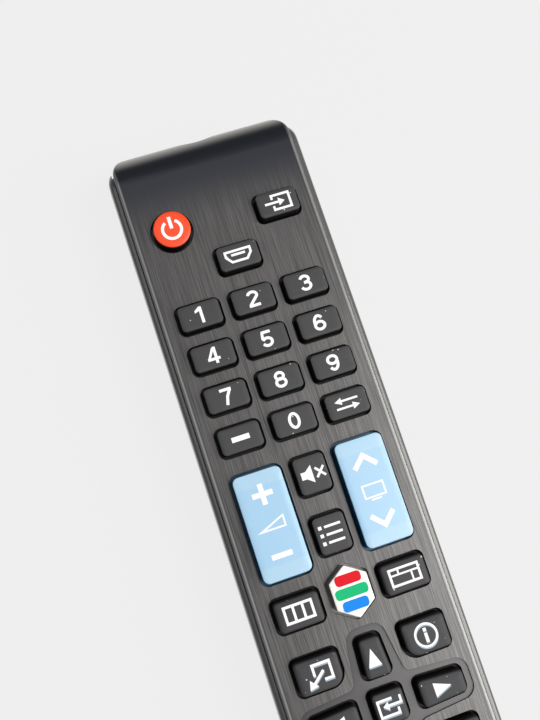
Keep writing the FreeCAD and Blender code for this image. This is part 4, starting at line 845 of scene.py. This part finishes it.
def symbols(pen):
    """The drawing on each key that has one."""
    bold = 1.2
    right = quarter_turned([triangle(1.15, 1.3)], 3)
    left = quarter_turned([triangle(1.15, 1.3)], 1)
    plus = [bar(0, 7.1, 4.9, bold), bar(0, 7.1, bold, 4.9)]
    wedge = [band([(-2.9, -1.1), (2.9, -1.1), (2.9, 1.3)], 0.4, closed=True)]
    chevron = [band([(-2.75, -1.35), (0, 1.35), (2.75, -1.35)], bold)]
    screen = [box_line(5.0, 2.9, 0.4), bar(0, -2.1, 2.4, 0.4)]
    speaker = patch([(-2.3, -0.75), (-1.3, -0.75), (0.1, -1.8), (0.1, 1.8), (-1.3, 0.75), (-2.3, 0.75)])
    drawings = {
        "power_key": [band(arc((0, -0.1), 2.25, 122, 418, 40), 0.72), bar(0, 1.6, 0.82, 2.9)],
        "source_key": [
            band([(-1.0, 0.7), (-1.0, 1.5), (2.6, 1.5), (2.6, -1.5), (-1.0, -1.5), (-1.0, -0.7)], pen),
            bar(-1.25, 0, 2.9, pen), patch([(0.2, -0.85), (1.5, 0), (0.2, 0.85)])],
        "connector_key": [
            band([(-2.6, 1.1), (-2.6, 0.1), (-1.6, -1.1), (1.6, -1.1), (2.6, 0.1), (2.6, 1.1)], pen,
                 closed=True),
            bar(0, 0.3, 2.9, pen)],
        "dash_key": [bar(0, 0, 4.3, bold)],
        "previous_channel_key": [
            bar(0.7, 0.85, 4.2, pen), patch([(-2.9, 0.85), (-1.2, 0.0), (-1.2, 1.7)]),
            bar(-0.7, -0.85, 4.2, pen), patch([(2.9, -0.85), (1.2, 0.0), (1.2, -1.7)])],
        "mute_key": [speaker, band([(0.8, -1.0), (2.6, 1.0)], pen), band([(0.8, 1.0), (2.6, -1.0)], pen)],
        "channel_list_key": [
            part for row in (1.6, 0, -1.6) for part in (bar(-2.1, row, 0.7, 0.7), bar(0.5, row, 3.4, pen))],
        "volume_rocker": plus + [bar(0, -7.2, 4.9, bold)] + wedge,
        "channel_rocker": moved(chevron, 0, 6.9) + moved(quarter_turned(chevron, 2), 0, -6.9) + screen,
        "menu_key": [box_line(5.2, 2.9, pen), bar(-0.9, 0, pen, 2.5), bar(0.9, 0, pen, 2.5)],
        "guide_key": [
            box_line(6.0, 3.2, pen), bar(0, 0.45, 5.6, 0.36), bar(-1.2, 1.0, 0.36, 0.9),
            bar(1.4, -0.6, 0.36, 1.7)],
        "tools_key": [
            band([(-0.9, -0.2), (-0.9, 1.7), (2.3, 1.7), (2.3, -1.2), (0.7, -1.2)], pen),
            band([(0.9, 0.4), (-1.5, -1.6)], pen), patch([(-2.4, -2.3), (-0.7, -2.0), (-2.0, -0.6)])],
        "info_key": [
            band(arc((0, 0), 2.1, 0, 350, 35), 0.42, closed=True), bar(0, 1.05, 0.62, 0.62),
            bar(0, -0.45, 0.62, 1.7)],
        "return_key": [
            band(np.vstack([[(-1.4, 1.0)], arc((1.0, -0.25), 1.25, 90, -90, 12), [(-2.0, -1.5)]]), pen),
            patch([(-2.9, 1.0), (-1.2, 0.1), (-1.2, 1.9)])],
        "exit_key": [
            band([(0.6, 0.9), (0.6, 1.7), (-2.4, 1.7), (-2.4, -1.7), (0.6, -1.7), (0.6, -0.9)], pen),
            bar(0.6, 0, 2.8, pen), patch([(1.8, -0.85), (3.0, 0), (1.8, 0.85)])],
        "enter_key": [
            band([(0.7, 1.6), (-2.4, 1.6), (-2.4, -1.6), (1.5, -1.6), (1.5, -0.5)], pen),
            band([(2.4, 1.7), (2.4, 0.3), (-0.5, 0.3)], pen),
            patch([(-1.5, 0.3), (-0.3, -0.55), (-0.3, 1.15)])],
        "subtitle_key": [box_line(5.4, 3.0, pen), bar(-0.8, -0.7, 2.4, 0.4), bar(1.5, -0.7, 1.2, 0.4)],
        "size_key": [
            box_line(5.4, 3.0, pen), bar(0, 0, 2.4, 0.4), patch([(-1.9, 0), (-1.0, -0.7), (-1.0, 0.7)]),
            patch([(1.9, 0), (1.0, 0.7), (1.0, -0.7)])],
        "settings_key": [band(arc((0, 0), 1.1, 0, 350, 35), 0.6, closed=True)] + [
            tooth for turn in range(8) for tooth in spun(bar(0, 1.75, 0.55, 0.6), turn * 45)],
        "rewind_key": moved(left, -1.1, 0) + moved(left, 1.1, 0),
        "pause_key": [bar(-0.8, 0, 0.85, 2.6), bar(0.8, 0, 0.85, 2.6)],
        "forward_key": moved(right, -1.1, 0) + moved(right, 1.1, 0),
        "record_key": [patch(arc((0, 0), 1.3, 0, 350, 35))],
        "play_key": right,
        "stop_key": [bar(0, 0, 2.5, 2.5)],
    }
    for node, turns in ARROW_TURNS.items():
        drawings[node] = quarter_turned([triangle(2.0, 1.55)], turns)
    drawings["arrow_up_key"] = moved(drawings["arrow_up_key"], -0.3, 0)
    for node, size in SYMBOL_SIZES.items():
        drawings[node] = [(points * size, faces) for points, faces in drawings[node]]
    return drawings


def spun(shape, degrees):
    """One shape turned about its key's middle."""
    return quarter_turned([shape], degrees / 90)


def print_drawing(name, node, drawing, keys, prints, shift, level):
    """One print on the level part of a key: thin plates of ink, each a little over the one before."""
    low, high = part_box(node)
    middle = (low + high) / 2
    points, faces, start = [], [], 0
    for order, (flat, own) in enumerate(drawing):
        plan = flat * MM + np.array(shift) + np.array(middle[:2])
        height = high.z - keys.print_gap + level + prints.layer * order
        points.append(np.column_stack([plan, np.full(len(plan), height)]))
        faces += [[corner + start for corner in face] for face in own]
        start += len(flat)
    piece = new_piece(name, np.vstack(points), faces)
    plate = piece.modifiers.new("ink_depth", "SOLIDIFY")
    plate.thickness = prints.ink_depth
    plate.offset = -1
    return piece


def digit_drawings(pen):
    """The ten numbers, 4 mm high, drawn with round and straight strokes of one width."""
    x, y = 1.08, 1.98 - pen / 2
    bowl = (x + 0.04, 0.92)
    low = bowl[1] - y
    top = 0.8
    six = [band(arc((0, low), bowl, 0, 350, 35), pen, closed=True), band(arc((0, 0), (x, y), 195, 38), pen)]
    return {
        "0": [band(arc((0, 0), (x, y), 0, 350, 35), pen, closed=True)],
        "1": [bar(0.35, 0, pen * 1.05, 3.96),
              patch([(-1.05, 0.62), (0.1, 1.0), (0.4, 1.98), (0.1, 1.98), (-1.05, 1.22)])],
        "2": [band(np.vstack([arc((0, y - top), (x, top), 172, -28), [(-1.0, 0.25 - y)]]), pen),
              bar(0, -y, 2.75, pen)],
        "3": [band(arc((-0.05, y - top), (x - 0.05, top), 165, -88), pen),
              band(arc((-0.05, low), bowl, 88, -165), pen), bar(-0.1, y - 2 * top + 0.02, 0.5, pen)],
        "4": [band([(0.25, 1.75), (-1.2, -0.72)], pen * 0.85), bar(-0.05, -0.85, 3.0, pen * 0.95),
              bar(0.5, 0, pen, 3.96)],
        "5": [bar(0.15, y, 2.2, pen), band([(-0.72, y), (-0.98, 0.02)], pen * 0.95),
              band(arc((0, low), bowl, 150, -160), pen)],
        "6": six,
        "7": [bar(0, y, 2.8, pen), band([(1.12, y - 0.1), (0.15, 0.0), (-0.4, -1.98)], pen)],
        "8": [band(arc((0, y - top), (x - 0.12, top), 0, 350, 35), pen, closed=True),
              band(arc((0, low), bowl, 0, 350, 35), pen, closed=True)],
        "9": quarter_turned(six, 2),
    }


# Operators


class REMOTE_OT_shell(bpy.types.Operator):
    """Give the case, the battery door and the window their finishes"""
    bl_idname = "remote.shell"
    bl_label = "Shell"

    def execute(self, context):
        settings = context.scene.remote_shell
        shell = moulded_shell(settings)
        for node, material, body, slot in (
            ("top_case", brushed_face(settings), "root", "brushed_face"),
            ("bottom_case", shell, "root", "shell_plastic"),
            ("battery_door", shell, "door", "shell_plastic"),
            ("ir_window", window_acrylic(), "root", "ir_window"),
        ):
            finish(smooth_copy(node, settings.sharp), material, body, slot, node)
        return {"FINISHED"}


class REMOTE_OT_insides(bpy.types.Operator):
    """Give the mat, the board, the cells and the metal parts their finishes"""
    bl_idname = "remote.insides"
    bl_label = "Insides"

    def execute(self, context):
        nickel = drawn_metal("nickel_plated_strip", linear("#c4bfb4"))
        rubber = soft_rubber()
        finishes = {
            "keypad_mat": rubber,
            "key_domes": rubber,
            "circuit_board": printed_board(),
            "ir_led": diode_epoxy(),
            "controller_chip": chip_body(),
            "board_parts": small_parts(),
            "terminal_positive": nickel,
            "terminal_negative": nickel,
            "battery_bridge": nickel,
            "aaa_cell_left": cell_wrap("printed_cell_film_left", "aaa_cell_left", True),
            "aaa_cell_right": cell_wrap("printed_cell_film_right", "aaa_cell_right", False),
            "case_screws": drawn_metal("blackened_screw_steel", linear("#4d4c4a"), 0.4),
        }
        for node, material in finishes.items():
            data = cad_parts[node].data
            data.materials.clear()
            data.materials.append(material)
        return {"FINISHED"}


class REMOTE_OT_dark_keys(bpy.types.Operator):
    """Build the caps of the dark rubber keys"""
    bl_idname = "remote.dark_keys"
    bl_label = "Dark keys"

    def execute(self, context):
        keys = context.scene.remote_keys
        sharp = context.scene.remote_shell.sharp
        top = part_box("menu_key")[1].z
        rubber = lacquered_rubber("lacquered_dark_silicone", keys.rubber, keys.wall, top)
        low_rubber = lacquered_rubber("lacquered_black_silicone", keys.low_rubber, keys.wall, top)
        for node in DARK_KEYS:
            material = low_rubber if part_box(node)[1].y < keys.soft_from else rubber
            finish(key_cap(node, keys, sharp), material, node, "key_rubber", node)
        return {"FINISHED"}


class REMOTE_OT_coloured_keys(bpy.types.Operator):
    """Build the power key, the six-sided key, the rocking keys and the four colour keys"""
    bl_idname = "remote.coloured_keys"
    bl_label = "Coloured keys"

    def execute(self, context):
        keys = context.scene.remote_keys
        sharp = context.scene.remote_shell.sharp
        low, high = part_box("volume_rocker")
        rocker = rocker_plastic(keys, (low.y + high.y) / 2)
        for node in ROCKERS:
            finish(key_cap(node, keys, sharp), rocker, node, "blue_key_plastic", node)
        power = milky_plastic("orange_red_silicone", keys.power, keys.wall, high.z)
        finish(key_cap("power_key", keys, sharp), power, "power_key", "red_key_plastic", "power_key")
        # Painted shade: the grey on the six-sided key's side walls and forward-leaning edge.
        white = milky_plastic("white_silicone", linear("#fdfaf5"), linear("#b9b7b2"), high.z, 0.1)
        hexagon = key_cap("hexagon_key", keys, sharp)
        finish(hexagon, white, "hexagon_key", "white_key_plastic", "hexagon_key")
        for node, code in COLOUR_KEYS.items():
            name = node.removesuffix("_key")
            material = milky_plastic(f"{name}_silicone", linear(code), keys.wall, high.z, 0.1)
            finish(key_cap(node, keys, sharp), material, node, f"colour_key_{name}", node)
        return {"FINISHED"}


class REMOTE_OT_digits(bpy.types.Operator):
    """Print the numbers on the number keys"""
    bl_idname = "remote.digits"
    bl_label = "Numbers"

    def execute(self, context):
        keys, prints = context.scene.remote_keys, context.scene.remote_prints
        ink = printed_ink("white_screen_ink", prints.ink)
        drawings = digit_drawings(prints.digit_pen / MM)
        for node, figure in DIGITS.items():
            drawing = drawings[figure]
            piece = print_drawing(f"{node}_figure", node, drawing, keys, prints, (0, 0), prints.lift)
            finish(piece, ink, node, "key_rubber")
        return {"FINISHED"}


class REMOTE_OT_symbols(bpy.types.Operator):
    """Print the symbols on the other keys, with a painted shadow under those on the lower keys"""
    bl_idname = "remote.symbols"
    bl_label = "Symbols"

    def execute(self, context):
        keys, prints = context.scene.remote_keys, context.scene.remote_prints
        ink = printed_ink("white_symbol_ink", prints.ink)
        side = printed_ink("painted_shadow_ink", prints.shade)
        for node, drawing in symbols(prints.pen / MM).items():
            piece = print_drawing(f"{node}_symbol", node, drawing, keys, prints, (0, 0), prints.lift)
            finish(piece, ink, node, "key_rubber")
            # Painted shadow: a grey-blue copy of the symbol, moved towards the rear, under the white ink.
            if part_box(node)[1].y < prints.shade_from:
                shift = (0, -prints.shade_drop)
                shadow_name = f"{node}_symbol_painted_shadow"
                under = print_drawing(shadow_name, node, drawing, keys, prints, shift, prints.lift / 3)
                finish(under, side, node, "key_rubber")
        return {"FINISHED"}


class REMOTE_OT_hexagon_print(bpy.types.Operator):
    """Print three coloured bars on the six-sided key"""
    bl_idname = "remote.hexagon_print"
    bl_label = "Six-sided key's print"

    def execute(self, context):
        keys, prints = context.scene.remote_keys, context.scene.remote_prints
        node = "hexagon_key"
        for name, code, y, half in HEXAGON_BARS:
            corners = [(across * half, along * HEXAGON_BAR_HALF, HEXAGON_BAR_ROUND)
                       for across, along in CORNER_SIGNS]
            outline = rings(corners, np.zeros(1), np.ones(1), np.zeros(1), keys.steps)[0, :, :2]
            drawing = moved([patch(outline)], 0, y)
            piece = print_drawing(f"hexagon_{name}_bar", node, drawing, keys, prints, (0, 0), prints.lift)
            finish(piece, printed_ink(f"{name}_screen_ink", linear(code)), node, "white_key_plastic")
        return {"FINISHED"}


class REMOTE_OT_stage(bpy.types.Operator):
    """Set up the pale floor, the soft light and the camera"""
    bl_idname = "remote.stage"
    bl_label = "Stage"

    def execute(self, context):
        settings = context.scene.remote_stage
        self.lay_floor(settings)
        self.light_sky(context, settings)
        # A large soft box hangs high up to the right of the battery end. A dim square card hangs above
        # the left side, and the face mirrors it in its left half.
        self.hang_light(context, settings, "soft_box", settings.key_power,
                        (settings.key_wide, settings.key_high), settings.key_place)
        self.hang_light(context, settings, "fill_card", settings.fill_power,
                        (settings.fill_side, settings.fill_side), settings.fill_place)
        self.place_camera(context, settings)
        context.scene.view_settings.view_transform = "Standard"
        return {"FINISHED"}

    def lay_floor(self, settings):
        """A wide pale sheet lit from below, so that no shadow shows on it."""
        half = settings.floor_size / 2
        under = -settings.floor_gap
        corners = [(-half, -half, under), (half, -half, under), (half, half, under), (-half, half, under)]
        floor = new_piece("floor", corners, [[0, 1, 2, 3]])
        paper = new_material("backlit_pale_sheet")
        noise = add_node(paper, "ShaderNodeTexNoise", {"Vector": position(paper), "Scale": 1 / (3 * MM)})
        base = varied(paper, settings.floor, noise.outputs["Fac"], 0.002)
        fill(paper, shader_of(paper), {
            "Base Color": base, "Roughness": 0.9, "Specular IOR Level": 0.0,
            "Emission Color": linear("#ffffff"), "Emission Strength": settings.glow})
        floor.data.materials.append(paper)

    def light_sky(self, context, settings):
        """A dim room."""
        world = bpy.data.worlds.new("studio_room")
        world.use_nodes = True
        context.scene.world = world
        fill(world, world.node_tree.nodes["Background"], {"Color": settings.room, "Strength": 1.0})

    def hang_light(self, context, settings, name, power, sides, place):
        """An area light with these two sides, at a place from which it faces the remote."""
        light = bpy.data.lights.new(name, "AREA")
        light.energy = power
        light.shape = "RECTANGLE"
        light.size, light.size_y = sides
        light.color = settings.lamp[:3]
        holder = bpy.data.objects.new(name, light)
        context.scene.collection.objects.link(holder)
        holder.location = Vector(place)
        holder.rotation_euler = (-holder.location).to_track_quat("-Z", "Y").to_euler()

    def place_camera(self, context, settings):
        """The camera at the photograph's place, turned about its view."""
        camera = bpy.data.cameras.new("camera")
        camera.lens = settings.lens
        camera.sensor_width = 36.0
        camera.clip_start = 0.01
        camera.clip_end = 10.0
        holder = bpy.data.objects.new("camera", camera)
        context.scene.collection.objects.link(holder)
        eye = Vector((settings.camera_across, settings.camera_along, settings.camera_up))
        aim = Vector((settings.look_across, settings.look_along, settings.look_up))
        back = (eye - aim).normalized()
        right = Vector((0, 1, 0)).cross(back).normalized()
        upright = Matrix((right, back.cross(right), back)).transposed()
        turn = upright @ Matrix.Rotation(-settings.roll, 3, "Z")
        holder.matrix_world = Matrix.Translation(eye) @ turn.to_4x4()
        context.scene.camera = holder


class REMOTE_PT_panel(bpy.types.Panel):
    """The steps that dress the remote control"""
    bl_label = "Remote control"
    bl_idname = "REMOTE_PT_panel"
    bl_space_type = "VIEW_3D"
    bl_region_type = "UI"
    bl_category = "Remote"

    def draw(self, context):
        for operator in OPERATORS:
            self.layout.operator(operator.bl_idname)
        for group in (name for name, _ in GROUPS):
            settings = getattr(context.scene, group)
            box = self.layout.box()
            for name in settings.__annotations__:
                box.prop(settings, name)


OPERATORS = (
    REMOTE_OT_shell,
    REMOTE_OT_insides,
    REMOTE_OT_dark_keys,
    REMOTE_OT_coloured_keys,
    REMOTE_OT_digits,
    REMOTE_OT_symbols,
    REMOTE_OT_hexagon_print,
    REMOTE_OT_stage,
)
GROUPS = (
    ("remote_shell", ShellSettings),
    ("remote_keys", KeySettings),
    ("remote_prints", PrintSettings),
    ("remote_stage", StageSettings),
)


def register():
    """Adds the settings, the steps and the panel."""
    for name, group in GROUPS:
        bpy.utils.register_class(group)
        setattr(bpy.types.Scene, name, PointerProperty(type=group))
    for operator in (*OPERATORS, REMOTE_PT_panel):
        bpy.utils.register_class(operator)


def unregister():
    """Takes them away again."""
    for operator in reversed((*OPERATORS, REMOTE_PT_panel)):
        bpy.utils.unregister_class(operator)
    for name, group in reversed(GROUPS):
        delattr(bpy.types.Scene, name)
        bpy.utils.unregister_class(group)


def main():
    """Runs every step."""
    register()
    for operator in OPERATORS:
        group, name = operator.bl_idname.split(".")
        getattr(getattr(bpy.ops, group), name)()


if __name__ == "__main__":
    main()
